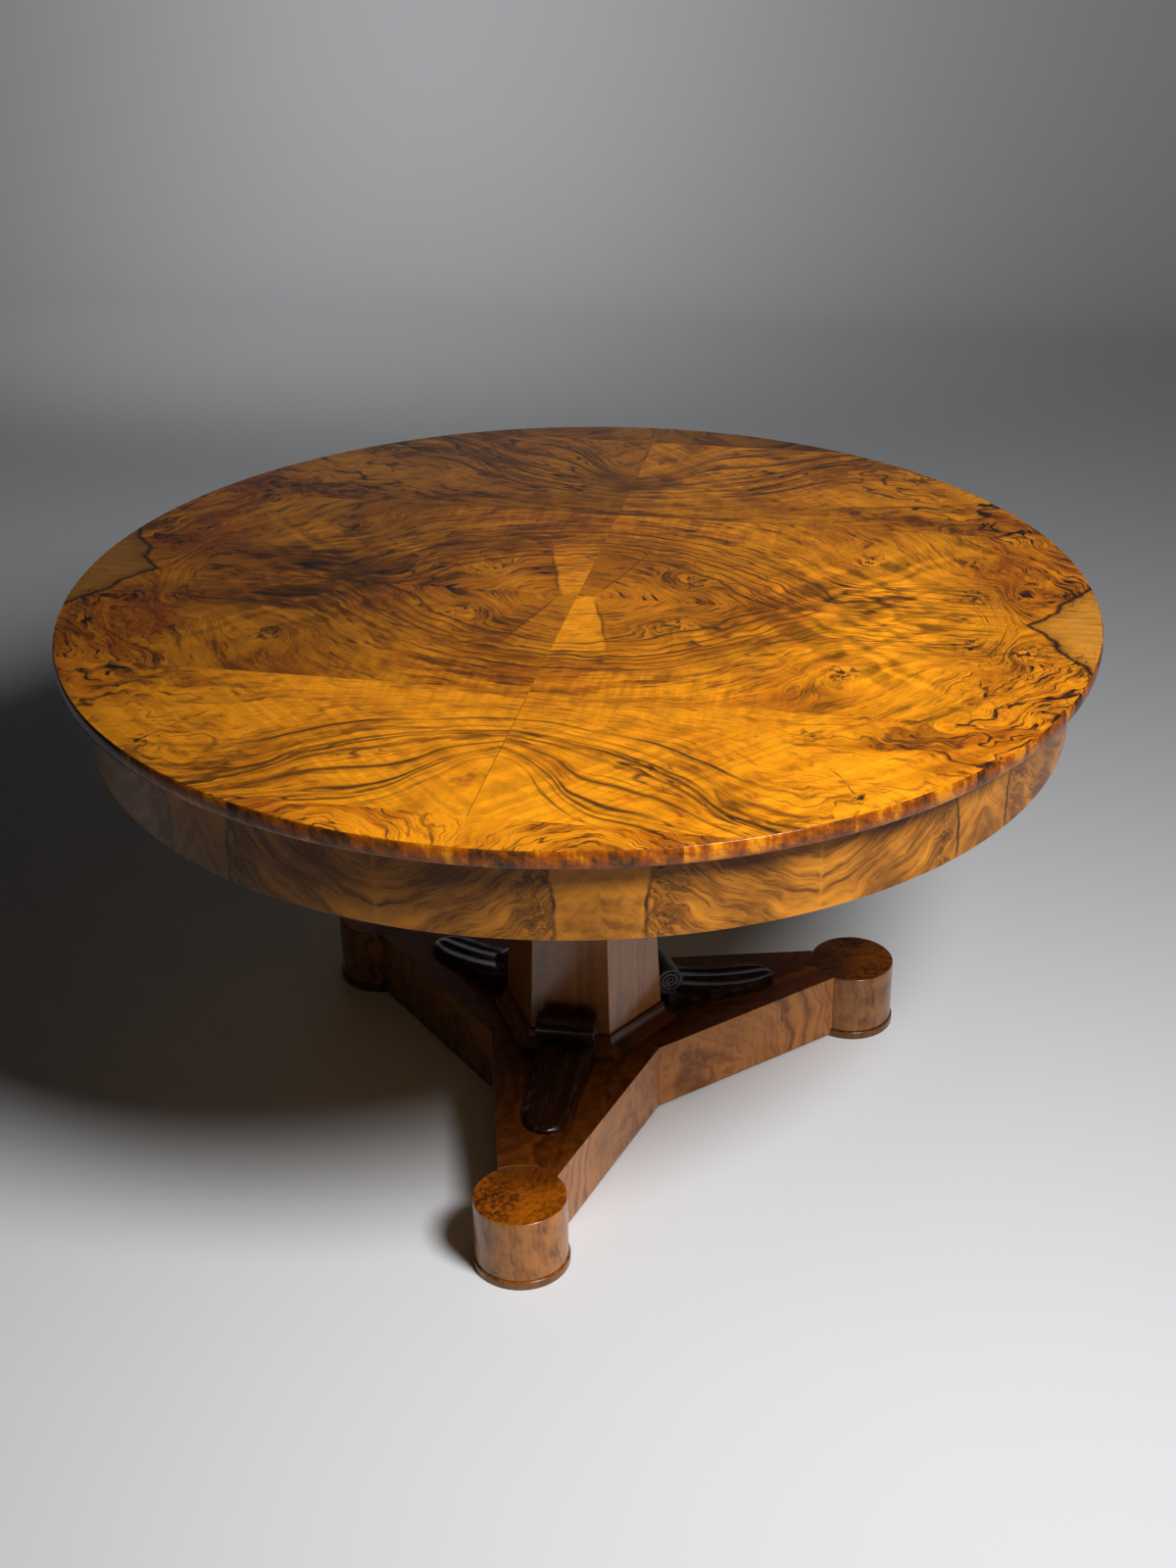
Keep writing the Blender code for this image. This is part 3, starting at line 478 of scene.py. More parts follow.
def inner_leaf(colours):
    """Sheet with growth rings in loops round the middle of the top."""
    material, where, x, y = blank("burr_walnut_inner")[:4]
    u, v, plan = leaf_plan(where, x, y)
    bend = cloud(plan, 20.0, 2.0)
    # Regions of the sheet
    band = rise(v, 0.19, 0.23) * fall(u, 0.26, 0.36)
    wedge = fall(u - v * 0.30 + bend * 0.01, 0.016, 0.024) * fall(v, 0.15, 0.20)
    flame = rise(u, 0.44, 0.52) * rise(v, 0.02, 0.10)
    calm = band * 0.8 + wedge * 0.6
    warp = cloud(plan, 7.0, 1.0) * (0.07 - calm * 0.055) + bend * (0.020 - calm * 0.014 + flame * 0.035)
    # Growth that the strokes follow: loops with flat sides, then a fan along the mirror line
    slope = (v + u * 0.875) / 1.5
    loop = (v ** 6.0 + slope ** 6.0) ** (1.0 / 6.0)
    beyond = (u - 0.31).math("MAXIMUM", u - 0.31, 0.0) * 0.35
    tail = rise(u, 0.27, 0.36) * fall(v - u * 0.12, 0.02, 0.09) * fall(u, 0.50, 0.56)
    eu = u + bend * 0.06
    ev = v - bend * 0.06
    eyes = spot(eu, ev, (0.135, 0.07), 0.034) * 0.08 + spot(eu, ev, (0.35, 0.18), 0.04) * 0.06
    eyes += spot(eu, ev, (0.50, 0.115), 0.03) * 0.05 + spot(eu, ev, (0.56, 0.085), 0.035) * 0.06
    rings = loop + beyond
    field = rings + tail * (v * 0.6 + 0.19 - rings) + warp * (1.0 - tail * 0.5) + eyes
    # More regions, and bands of light across the grain
    face = fall(field, 0.17, 0.19) * (1.0 - wedge) * fall(v, 0.07, 0.15)
    blotch = rise(u, 0.34, 0.38) * fall(u, 0.44, 0.52) * rise(v, 0.08, 0.12)
    check = fall(v - u * 0.4, 0.0, 0.08) * rise(u, 0.18, 0.26) * fall(u, 0.40, 0.50)
    plaid = slats(u + v + bend * 0.05, 15.0) + slats(u - v + bend * 0.05 + 4.0, 15.0)
    ripple = cloud(joined(u, v * 0.16), 115.0, 2.0)
    # Lightness, smoke, warmth and sheen, which differ from quarter to quarter. The sheen is painted light
    # and shade: each quarter given its own lightness as light catches its grain, and the left half darker
    # further out, as if lit from the right.
    light = wedge * leaf_tone(x, y, 0.35, 0.35, -0.3, 0.3) + blotch * 0.35 - face * 0.2
    fold = spot(u, v, (0.335, 0.23), 0.05) + spot(u, v, (0.45, 0.27), 0.03) + spot(u, v, (0.49, 0.07), 0.05)
    murk = spot(u * 0.35, v + bend * 0.02, (0.147, 0.068), 0.036) * handed(x, 0.0, 1.0)
    smoke = face * 0.7 + 0.45 + flame * leaf_tone(x, y, 0.05, 0.3, 0.3, 0.3) + fold * 0.5
    smoke += handed(x, 0.0, 0.35) + murk * 1.4 - wedge * 0.4 - tail * handed(x, 0.4, 0.0)
    warmth = flame * leaf_tone(x, y, 0.5, 0.85, 0.85, 0.85) + band * 0.35
    warmth += handed(x, 0.05, 0.35) + check * 0.2
    light += flame * leaf_tone(x, y, 0.35, 0.0, 0.0, 0.0) + tail * handed(x, 0.4, 0.0) - murk * 0.5
    painted_sheen_and_shade = leaf_tone(x, y, 0.97, 0.86, 0.94, 0.86) * (1.0 - handed(x, 0.0, 0.42) * rise(u, 0.10, 0.30))
    painted_sheen_and_shade *= 1.0 - murk * 0.32
    painted_sheen_and_shade *= 1.0 + handed(x, 0.0, 0.18) * rise(u, 0.42, 0.54)
    painted_sheen_and_shade *= 1.0 + plaid * (0.06 + check * 0.20) * handed(x, 1.0, -0.8) + ripple * (0.28 + band * 0.9)
    painted_sheen_and_shade *= 1.0 + wedge * leaf_tone(x, y, 0.10, -0.08, -0.15, 0.45)
    main = crest(field - 0.188, 0.034) * fall(u, 0.24, 0.34)
    bold = 0.62 - blotch * 0.30 - wedge * 0.2 + flame * 0.6 + main * 0.2 + face * 0.2 + murk * 0.4
    bold += handed(y, 0.25, 0.0)
    paint, relief = walnut_leaf(colours, plan, field, 0.0105, bold, light, smoke, warmth, painted_sheen_and_shade)
    # Rings round the middle, lines of the fan and edges of the wedges
    outline = loop + cloud(plan, 8.0, 2.0) * 0.045 + bend * 0.012 + beyond
    places = (0.150, 0.163, 0.176, 0.188, 0.197, 0.209, 0.224)
    paint = ringed(colours, plan, paint, outline, places, fall(u, 0.27, 0.34))
    fan = strokes((v + bend * 0.008) / (u + 0.12), plan, 0.030, 0.20, 2.0)
    paint = tint(held(crest(fan - 0.05, 0.05) + crest(fan + 0.12, 0.03)) * tail * 0.7, paint, colours.brown)
    side = crest(u - v * 0.30 + bend * 0.01 - 0.022, 0.003) * rise(v, 0.01, 0.03) * fall(v, 0.10, 0.17)
    paint = tint(side * 0.7, paint, colours.brown)
    # Pale tips with a dark outline
    edge = guide(v, ((0.0, 0.566), (0.034, 0.594), (0.074, 0.606), (0.109, 0.634), (0.20, 0.668)))
    past = u - edge + cloud(plan, 30.0, 4.0) * 0.024
    tip = rise(past, 0.0, 0.006)
    vein = strokes(v + bend * 0.01, plan, 0.006, 0.10, 3.0)
    olive = tint(0.45 + bend * 0.6 - vein, colours.olive, colours.golden)
    shade = 1.0 - vein * 0.8 + relief * 0.4 - crest(past, 0.035) * 0.3
    # Painted shade: the pale tip on the left darker than the one on the right.
    olive = toned(olive, handed(x, 0.98, 0.43) * shade)
    paint = tint(tip * 0.9, paint, olive)
    paint = tint(tip * crest(vein - 0.16, 0.03) * 0.6, paint, colours.brown)
    paint = tint(crest(past, 0.008), paint, colours.vein)
    # Burr
    dark = knots(eu, ev, plan, ((0.135, 0.07), (0.35, 0.18), (0.50, 0.075), (0.57, 0.085)), 0.028)
    paint = tint(dark, paint, colours.vein)
    squiggle = crest(cloud(plan, 24.0, 3.0, 0.6) - 0.02, 0.016)
    squiggle += crest(cloud(plan, 40.0, 2.0) - 0.06, 0.02) * 0.7
    paint = tint(held(squiggle) * flame * rise(cloud(plan, 8.0), -0.14, 0.06) * 0.8, paint, colours.vein)
    return polish(material, paint, 0.32 + relief * 0.05, relief, 0.00012)


def outer_leaf(colours):
    """Sheet with growth rings in arches over the middle of its rim."""
    material, where, x, y = blank("burr_walnut_outer")[:4]
    u, v, plan = leaf_plan(where, x, y)
    bend = cloud(plan, 20.0, 2.0)
    # Regions of the sheet
    band = fall(v, 0.33, 0.38) * fall(u, 0.24, 0.36)
    corner = rise(u, 0.34, 0.46) * fall(v - u * 0.3, 0.20, 0.32)
    aside = rise(u, 0.22, 0.36)
    warp = cloud(plan, 8.0, 1.0) * (0.012 + aside * 0.02) + bend * (0.007 + aside * 0.012 + corner * 0.02)
    # Growth that the strokes follow: three arches, one under the other
    high = guide(u, ((0.0, 0.397), (0.114, 0.426), (0.2, 0.48), (0.286, 0.56), (0.42, 0.60), (0.66, 0.62)))
    mid = guide(u, ((0.0, 0.431), (0.057, 0.474), (0.109, 0.549), (0.19, 0.575), (0.30, 0.61), (0.66, 0.66)))
    low = guide(u, ((0.0, 0.465), (0.034, 0.49), (0.069, 0.56), (0.12, 0.60), (0.30, 0.66), (0.66, 0.70)))
    above = (v - LEAF_JOINT) / (high - LEAF_JOINT)
    between = (v - high) / (mid - high)
    below = (v - mid) / (low - mid)
    stage = held(above) * 0.11 + held(between) * 0.05 + held(below) * 0.04
    eu = u + bend * 0.05
    ev = v - bend * 0.05
    eyes = spot(eu, ev, (0.405, 0.487), 0.03) * 0.012
    field = stage + warp + eyes + 0.3
    inside = rise(field, 0.44, 0.47) * fall(u, 0.1, 0.2)
    plaid = slats(u + v + bend * 0.02, 30.0)
    ripple = cloud(joined(u, v * 0.16), 115.0, 2.0)
    # Lightness, smoke, warmth and sheen, which differ from quarter to quarter. The sheen is painted light
    # and shade: each quarter given its own lightness as light catches its grain, the back quarters darker,
    # the back left darkest, and the left half darker further out.
    light = 0.22 - corner * 0.25 + inside * 0.2
    smoke = corner * 0.6 + 0.22 - inside * 0.2 + handed(x, 0.0, 0.2) + handed(y, 0.3, 0.0)
    smoke += rise(v, 0.42, 0.5) * rise(u, 0.18, 0.26) * 0.3
    painted_sheen_and_shade = leaf_tone(x, y, 0.98, 0.99, 0.86, 0.56)
    painted_sheen_and_shade *= 1.0 - leaf_tone(x, y, 0.0, 0.28, 0.0, 0.12) * rise(u, 0.15, 0.50)
    strip = fall(v, 0.33, 0.40) * fall(u, 0.34, 0.48) * handed(y, 1.0, 0.0)
    painted_sheen_and_shade *= 1.0 - strip * handed(x, 0.14, 0.24)
    painted_sheen_and_shade *= 1.0 + plaid * (0.13 - band * 0.1) * handed(x, 1.0, -0.8) + ripple * (0.25 + band * 0.5)
    main = crest(field - 0.412, 0.022) + crest(field - 0.462, 0.014) + crest(field - 0.485, 0.008)
    bold = 0.50 - band * 0.20 + main * 0.5 * fall(u, 0.28, 0.36) + corner * 0.6 - inside * 0.45
    bold += handed(y, 0.35, 0.0)
    warmth = corner * 0.95 + band * 0.25 + handed(y, 0.35, 0.0) + strip * 0.3
    paint, relief = walnut_leaf(colours, plan, field, 0.0100, bold, light, smoke, warmth, painted_sheen_and_shade)
    # Rings along the arches, a fork at the back, a crack, burr and joints
    outline = stage + 0.3 + cloud(plan, 8.0, 2.0) * 0.014 + bend * 0.003
    places = (0.372, 0.390, 0.402, 0.408, 0.416, 0.436, 0.455, 0.461, 0.469, 0.484)
    paint = ringed(colours, plan, paint, outline, places, fall(u, 0.34, 0.44))
    fork = (spot(u, v, (0.0, 0.40), 0.035) + spot(u, v, (0.045, 0.435), 0.022)) * handed(y, 1.0, 0.0)
    paint = tint(held(fork * (0.9 + relief)), paint, colours.brown)
    run = ((0.0, 0.20), (0.354, 0.331), (0.423, 0.366), (0.474, 0.400), (0.50, 0.412), (0.66, 0.45))
    crack = crest(u - guide(v, run) + bend * 0.02, 0.0018) * rise(v, 0.39, 0.41) * fall(v, 0.48, 0.50)
    paint = tint(crack * rise(cloud(plan, 45.0), -0.10, 0.06), paint, colours.vein)
    paint = tint(knots(eu, ev, plan, ((0.405, 0.487), (0.33, 0.345)), 0.016), paint, colours.vein)
    joint = crest(abs(y) - LEAF_JOINT, 0.0025) * handed(y, 0.5, 0.3)
    paint = tint(joint, paint, colours.brown)
    open_seam = crest(x, 0.0007) * fall(y, -0.32, -0.30)
    paint = tint(open_seam, paint, colours.vein)
    return polish(material, paint, 0.32 + relief * 0.05, relief, 0.00012)


def rim_leaf(colours):
    """Narrow strip with burr arcs, pieced in at the front and the back of the rim."""
    material, where, x, y = blank("burr_walnut_rim")[:4]
    u = abs(x) + cloud(where, 7.0) * 0.010
    v = abs(y)
    plan = joined(u, v, handed(x, 0.0, 0.025) + handed(y, 0.02, 0.0))
    arc = ((u - 0.15) ** 2.0 + (v - 0.70) ** 2.0) ** 0.5
    field = arc + cloud(plan, 12.0, 3.0) * 0.05 + cloud(plan, 30.0, 2.0) * 0.024
    away = rise(u, 0.05, 0.085)
    # Painted light and shade: the front strips light, those at the back much darker.
    painted_sheen_and_shade = leaf_tone(x, y, 0.97, 1.10, 0.34, 0.42)
    bold = 0.6 + away * 0.3
    light = 0.2 - away * 0.2
    paint, relief = walnut_leaf(colours, plan, field, 0.011, bold, light, away * 0.6, away * 0.8, painted_sheen_and_shade)
    return polish(material, paint, 0.32 + relief * 0.05, relief, 0.00012)


def angle_from_front(x, y):
    """Turn round the table's axis from the front, positive to the right."""
    return x.math("ARCTAN2", x, y * -1.0)


def cross_banding(colours):
    """Short pieces of burr round the rim, with upright grain and painted shade."""
    material, _, x, y, z = blank("cross_banded_burr")
    arc = angle_from_front(x, y) * TOP_RADIUS
    grain = cloud(joined(arc, z * 0.25), 170.0, 4.0, 0.65)
    burr = cloud(joined(arc + z * 0.5, z), 55.0, 4.0, 0.65)
    count = arc / 0.050 + strata(arc, 9.0, 1.0) * 2.6
    number = count.math("FLOOR", count)
    piece = strata(number * 2.37, 1.0, 0.0) - 0.5
    tone = piece * 0.9 + (strata(arc, 26.0, 3.0) - 0.5) * 0.9 + burr * 1.3 + grain * (0.6 + piece * 0.6)
    paint = tint(rise(tone, -0.42, -0.05), colours.golden, colours.russet)
    paint = tint(rise(tone, -0.10, 0.22), paint, colours.brown)
    paint = tint(rise(tone, 0.10, 0.42) * 0.9, paint, colours.vein)
    # Painted shade: darker on the left and round the back, lightest just right of the front, as if lit from
    # the front right.
    shade = 0.60 + rise(arc, -0.45, 0.05) * 0.7 - rise(arc, 0.2, 0.55) * 0.4
    paint = toned(paint, (0.80 + grain * 0.5 + burr * 0.4) * shade)
    return polish(material, paint, 0.26 + grain * 0.06, grain, 0.00010, 0.08, 0.10, 0.22)


def apron_walnut(colours):
    """Book-matched leaves round the apron, each with a plain panel and a flame figure, and painted shade to
    the left.
    """
    material, where, x, y, z = blank("apron_walnut")
    turn = angle_from_front(x, y) - APRON_SEAM
    along = turn.math("PINGPONG", turn, APRON_LEAF) * APRON_RADIUS
    leaf = turn / APRON_LEAF
    number = leaf.math("FLOOR", leaf)
    up = z - APRON_MIDDLE
    flat = joined(along + cloud(where, 6.0) * 0.014, up + cloud(where, 9.0) * 0.008, number * 0.004)
    bend = cloud(flat, 30.0, 3.0)
    edge = along + bend * 0.014 - up * 0.06
    flame = rise(edge, 0.049, 0.055)
    burr = flame * fall(edge, 0.07, 0.11)
    bowl = ((along - 0.246) ** 2.0 + ((up - 0.10) * 1.15) ** 2.0) ** 0.5
    field = bowl + cloud(flat, 9.0, 2.0) * 0.05 + bend * (0.014 + burr * 0.05)
    front = fall(abs(turn), 0.20, 0.30)
    flame = held(flame + (1.0 - front) * 0.6)
    hair = strokes(field, flat, 0.0026, 0.055, 2.0, 0.6)
    broad = strokes(field + 0.5, flat, 0.014, 0.09, 4.0, 0.6)
    mottle = cloud(flat, 70.0, 4.0, 0.65)
    haze = cloud(flat, 9.0, 3.0)
    ripple = cloud(joined(along * 0.3, up, number), 60.0, 3.0)
    shade = broad * 1.3 + hair * 0.8 + mottle * 0.5 + haze * 0.6 + burr * 0.10
    paint = tint(rise(shade, -0.40, 0.34), colours.apron_light, colours.apron_dark)
    drift = strokes(field + 1.1, flat, 0.011, 0.14, 1.0)
    lines = crest(drift, 0.030) + crest(drift - 0.14, 0.024) + crest(drift + 0.14, 0.024)
    paint = tint(held(lines * rise(broad + burr * 0.2, -0.10, 0.12)) * 0.8, paint, colours.brown)
    paint = tint(rise(hair + broad * 0.5, 0.06, 0.20) * 0.7, paint, colours.brown)
    scribble = crest(cloud(flat, 30.0, 3.0, 0.6) + 0.02, 0.020) * burr
    paint = tint(scribble * 0.7, paint, colours.vein)
    quiet = ripple * 0.6 + mottle * 0.8 + haze * 1.2
    plain = tint(rise(quiet, -0.30, 0.42), colours.apron_light, colours.apron_dark)
    paint = tint(flame, plain, paint)
    paint = tint(crest(edge - 0.052, 0.004) * (0.6 + bend * 2.0), paint, colours.vein)
    paint = tint(crest(along - 0.2458, 0.004) * 0.35, paint, colours.apron_light)
    left = turn * -1.0
    tone = 1.12 + hair * 0.5 + mottle * 0.5
    # Painted shade: darker round to the left, as if lit from the right.
    tone -= rise(left, -0.10, 0.30) * 0.30 + rise(left, 0.30, 0.80) * 0.20
    paint = toned(paint, tone)
    return polish(material, paint, 0.28 + mottle * 0.05, hair + mottle, 0.00010, 0.05, 0.10, 0.20)


def sector(x, y, count):
    """Folds the plan into like sectors: distance along a sector's middle, across it, and its number."""
    share = math.tau / count
    turn = x.math("ARCTAN2", y, x) - math.radians(FRONT) + share / 2
    number = (turn / share).math("FLOOR", turn / share)
    local = turn - number * share - share / 2
    reach = (x * x + y * y) ** 0.5
    return reach * local.math("COSINE", local), reach * local.math("SINE", local), number


def column_walnut(colours):
    """Upright figured veneer, each face a little different, and painted light on the face to the right of
    the front.
    """
    material, _, x, y, z = blank("column_walnut")
    across, number = sector(x, y, COLUMN_SIDES)[1:]
    flat = joined(across, z, number * 0.7)
    flow = joined(across, z * 0.16, number * 0.7)
    field = across + cloud(flow, 7.0, 3.0) * 0.13 + cloud(flat, 28.0, 3.0) * 0.010
    grain = strata(field, 85.0, 6.0, 0.62)
    fibre = cloud(joined(across, z * 0.05), 500.0, 2.0)
    figure = cloud(joined(across * 0.5, z, number), 16.0, 2.0)
    speck = cloud(flat, 70.0, 4.0, 0.65)
    shade = grain + figure * 0.6 + speck * 0.5
    paint = tint(rise(shade, 0.25, 1.0), colours.column_light, colours.column_dark)
    turn = angle_from_front(x, y)
    near_edge = turn - math.radians(COLUMN_TURN / 2)
    far_edge = near_edge - math.radians(COLUMN_TURN)
    # Painted light: the face to the right of the front is made lighter.
    painted_lit_face = rise(near_edge, -0.0035, 0.0035) * fall(far_edge, -0.0035, 0.0035)
    tone = (1.0 + fibre * 0.3 + figure * 0.4) * (0.9 + painted_lit_face * 0.8)
    return polish(material, toned(paint, tone), 0.26 + fibre * 0.05, grain + fibre, 0.00008, 0.75, 0.14, 0.4)


def plinth_walnut(colours):
    """Dark moulding with grain along its length."""
    material, _, x, y, z = blank("plinth_walnut")
    out, across, number = sector(x, y, COLUMN_SIDES)
    flow = joined(across * 0.12, out + z, number)
    grain = cloud(flow, 160.0, 4.0)
    paint = tint(rise(grain, -0.14, 0.20), colours.platform_light, colours.platform_dark)
    return polish(material, paint, 0.32 + grain * 0.08, grain, 0.00012, 0.2, 0.12, 0.3)


def bracket_stain(colours):
    """Carved wood under a dark stain, rubbed a little in patches."""
    material, where, x, y, z = blank("bracket_stain")
    along, across = sector(x, y, len(FEET))[:2]
    grain = cloud(joined(along * 0.12, across, z), 240.0, 4.0)
    worn = cloud(where, 30.0, 3.0)
    paint = tint(rise(worn + grain * 0.4, 0.0, 0.30) * 0.6, colours.stain, colours.platform_dark)
    paint = tint(rise(grain, 0.05, 0.22) * 0.7, paint, colours.platform_light)
    return polish(material, paint, 0.30 + worn * 0.12, grain, 0.00010, 0.25, 0.12, 0.3)


def platform_walnut(colours):
    """Dark burr on the arms and a paler veneer with swirls down their sides, with painted light towards the
    arms' ends and painted shade on the sides to the left.
    """
    material, where, x, y, z = blank("platform_walnut")
    along, across, number = sector(x, y, len(FEET))
    flat = joined(along, across, number)
    field = across + cloud(flat, 9.0, 3.0) * 0.10 + cloud(flat, 40.0, 3.0) * 0.020
    grain = strata(field, 60.0, 5.0, 0.62)
    burr = cloud(flat, 60.0, 4.0)
    # Painted light: the tops lighter towards the arms' outer ends, past the top's shadow.
    painted_light_at_ends = rise(along, 0.24, 0.40)
    upper = tint(rise(grain + burr * 0.6, 0.25, 0.72), colours.platform_light, colours.platform_dark)
    upper = toned(upper, 1.0 + painted_light_at_ends * 0.4)
    hand = rise(across, -MERGE, MERGE)
    edge = joined(along, z, number * 0.7 + hand * 3.1)
    swirl = ((along - 0.20) ** 2.0 + (z - 0.02) ** 2.0) ** 0.5
    bands = swirl * 0.5 + along * 0.35 + cloud(edge, 12.0, 3.0) * 0.06 + cloud(edge, 40.0, 3.0) * 0.012
    lines = strata(bands, 90.0, 4.0, 0.62)
    fibre = cloud(joined(along, z * 0.12, number), 190.0, 4.0, 0.6)
    shade = lines + fibre * 0.7 + cloud(edge, 22.0, 3.0) * 0.5
    side = tint(rise(shade, 0.30, 0.85), colours.side_light, colours.side_dark)
    side = tint(rise(strata(bands + 1.0, 50.0, 2.0), 0.60, 0.72) * 0.6, side, colours.side_dark)
    # Painted shade: the sides on the left of the table darker.
    side = toned(side, (1.10 + fibre * 0.4) * (0.55 + rise(x, -0.06, 0.03) * 0.45))
    paint = tint(upward(where), side, upper)
    return polish(material, paint, 0.28 + burr * 0.06, grain + burr, 0.00010, 0.1, 0.10, 0.25)


def foot_walnut(colours):
    """Burr on top of the drums and figured veneer round their sides, with painted light on the front drum.
    """
    material, where, x, y, z = blank("foot_walnut")
    along, across, number = sector(x, y, len(FEET))
    ahead = along - FOOT_DISTANCE
    flat = joined(ahead, across, number)
    # Painted light: the front drum lighter, top and side, than the two behind it.
    front = fall(y, -0.20, -0.10)
    swell = cloud(flat, 14.0, 2.0)
    field = ahead * 0.5 + across + swell * 0.06 + cloud(flat, 50.0, 3.0) * 0.014
    lines = strata(field, 120.0, 4.0, 0.65)
    burr = cloud(flat, 130.0, 5.0, 0.65)
    shade = lines * 0.55 + burr * 1.1 + swell * 0.8 + 0.22
    upper = tint(rise(shade, 0.25, 0.80), colours.foot_light, colours.platform_dark)
    upper = tint(rise(shade, 0.62, 0.85) * 0.7, upper, colours.vein)
    run = cloud(joined(across, ahead * 0.12, number), 160.0, 4.0)
    join = fall(ahead + run * 0.05, -0.045, 0.012) * fall(abs(across), 0.036, 0.050)
    arm = tint(rise(run, -0.10, 0.20), colours.platform_light, colours.platform_dark)
    upper = tint(join * 0.85, upper, arm)
    # Painted light on the front drum's top.
    upper = toned(upper, 0.55 + front * 0.45)
    wrap = x.math("ARCTAN2", across, ahead) * 0.06
    sheet = joined(wrap, z, number)
    drift = wrap + cloud(sheet, 16.0, 2.0) * 0.06 + cloud(sheet, 60.0, 3.0) * 0.012
    mottle = cloud(sheet, 36.0, 4.0) + (strata(drift, 110.0, 4.0, 0.65) - 0.5) * 0.8
    fibre = cloud(joined(wrap, z * 0.14, number), 230.0, 3.0)
    side = tint(rise(mottle + fibre * 0.5, -0.22, 0.34), colours.drum_light, colours.drum_dark)
    side = tint(rise(mottle + burr * 0.4, 0.16, 0.34) * 0.8, side, colours.brown)
    # Painted light on the front drum's side.
    side = toned(side, (0.72 + front * 0.38 + fibre * 0.3) * (0.55 + rise(z, 0.011, 0.014) * 0.45))
    paint = tint(upward(where), side, upper)
    return polish(material, paint, 0.26 + burr * 0.06, burr + fibre, 0.00010, 0.25, 0.08, 0.35)


def pine(colours, name, run):
    """Bare pine whose grain runs along X, along Y or round the table."""
    material, where, x, y, z = blank(name)
    if run == "round":
        lengths, across = angle_from_front(x, y) * 0.6, (x * x + y * y) ** 0.5
    elif run == "x":
        lengths, across = x, y
    else:
        lengths, across = y, x
    field = across + z * 0.7 + cloud(joined(lengths * 0.15, across, z), 9.0, 3.0) * 0.05
    grain = strata(field, 90.0, 4.0)
    fibre = cloud(joined(lengths * 0.04, across, z), 600.0, 2.0)
    stain = cloud(where, 4.0, 3.0)
    paint = tint(rise(grain + stain * 0.5, 0.36, 0.70), colours.pine, colours.pine_dark)
    paint = toned(paint, 0.9 + fibre * 0.5)
    return polish(material, paint, 0.72 + fibre * 0.1, grain + fibre * 2.0, 0.0002, 0.0)


def forged_iron(colours):
    """Dull iron with a trace of rust."""
    material, where = blank("forged_iron")[:2]
    scale = cloud(where, 160.0, 4.0)
    rust = rise(cloud(where, 45.0, 4.0), 0.04, 0.22)
    paint = tint(rust * 0.6, colours.iron, colours.russet)
    return polish(material, paint, 0.60 + scale * 0.2, scale, 0.0003, 0.0)


def seamless(studio):
    """Plain matt paper, which can be looked through from its back; painted lighter on the left and darker on
    the right, evening out the key light.
    """
    material, where, x = blank("studio_paper")[:3]
    grain = cloud(where, 3.0, 3.0)
    paint = tint(rise(grain, -0.4, 0.4) * 0.3, studio.paper, studio.paper_cloud)
    # Painted light: the paper lighter on the left and darker on the right, evening out the key light.
    paint = toned(paint, 1.13 - rise(x, -1.0, 1.1) * 0.23)
    matt = surface(paint, 0.75 + grain * 0.05, grain, 0.0001, 0.0)
    behind = where.add("ShaderNodeNewGeometry", {}, {}, "Backfacing")
    clear = where.add("ShaderNodeBsdfTransparent")
    either = where.add("ShaderNodeMixShader", {}, {0: behind, 1: matt, 2: clear})
    where.add("ShaderNodeOutputMaterial", {}, {"Surface": either})
    return material


def start(primitive, **settings):
    """Add one primitive with its place in its mesh, and select all of it for editing."""
    bpy.ops.object.select_all(action="DESELECT")
    primitive(**settings)
    bpy.ops.object.transform_apply(location=True, rotation=True, scale=True)
    bpy.ops.object.mode_set(mode="EDIT")
    bpy.ops.mesh.select_all(action="SELECT")
    return bpy.context.object


def shape(piece, mould):
    """Move every corner to where a function of its place puts it."""
    bm = bmesh.from_edit_mesh(piece.data)
    for corner in bm.verts:
        corner.co = mould(*corner.co)
    bmesh.update_edit_mesh(piece.data)


def section(points, fill="NGON"):
    """Closed outline of (distance, height) points, from a circle with as many corners."""
    piece = start(bpy.ops.mesh.primitive_circle_add, vertices=len(points), fill_type=fill)
    bm = bmesh.from_edit_mesh(piece.data)
    for corner, (across, height) in zip(bm.verts, points):
        corner.co = (across, 0.0, height)
    bmesh.update_edit_mesh(piece.data)
    return piece


def swing(degrees, steps):
    """Sweep what is selected about the table's axis, half to each side of +X."""
    half = math.radians(degrees) / 2
    bpy.ops.transform.rotate(value=half, orient_axis="Z", center_override=(0.0, 0.0, 0.0))
    bpy.ops.mesh.spin(steps=steps, angle=2 * half, center=(0.0, 0.0, 0.0), axis=(0.0, 0.0, 1.0))


def saw(point, normal):
    """Cut the piece along a plane, close the cut and keep the side that the normal points to."""
    bpy.ops.mesh.select_all(action="SELECT")
    bpy.ops.mesh.bisect(plane_co=point, plane_no=normal, use_fill=True, clear_inner=True)


def pick(piece, test):
    """Select the edges whose two corners pass a test."""
    bpy.ops.mesh.select_all(action="DESELECT")
    bpy.ops.mesh.select_mode(type="EDGE")
    bm = bmesh.from_edit_mesh(piece.data)
    for edge in bm.edges:
        edge.select_set(all(test(corner.co) for corner in edge.verts))
    bmesh.update_edit_mesh(piece.data)


def ease(piece, test, width, steps=2):
    """Round the edges whose two corners pass a test."""
    pick(piece, test)
    bpy.ops.mesh.bevel(offset=width, segments=steps, affect="EDGES")


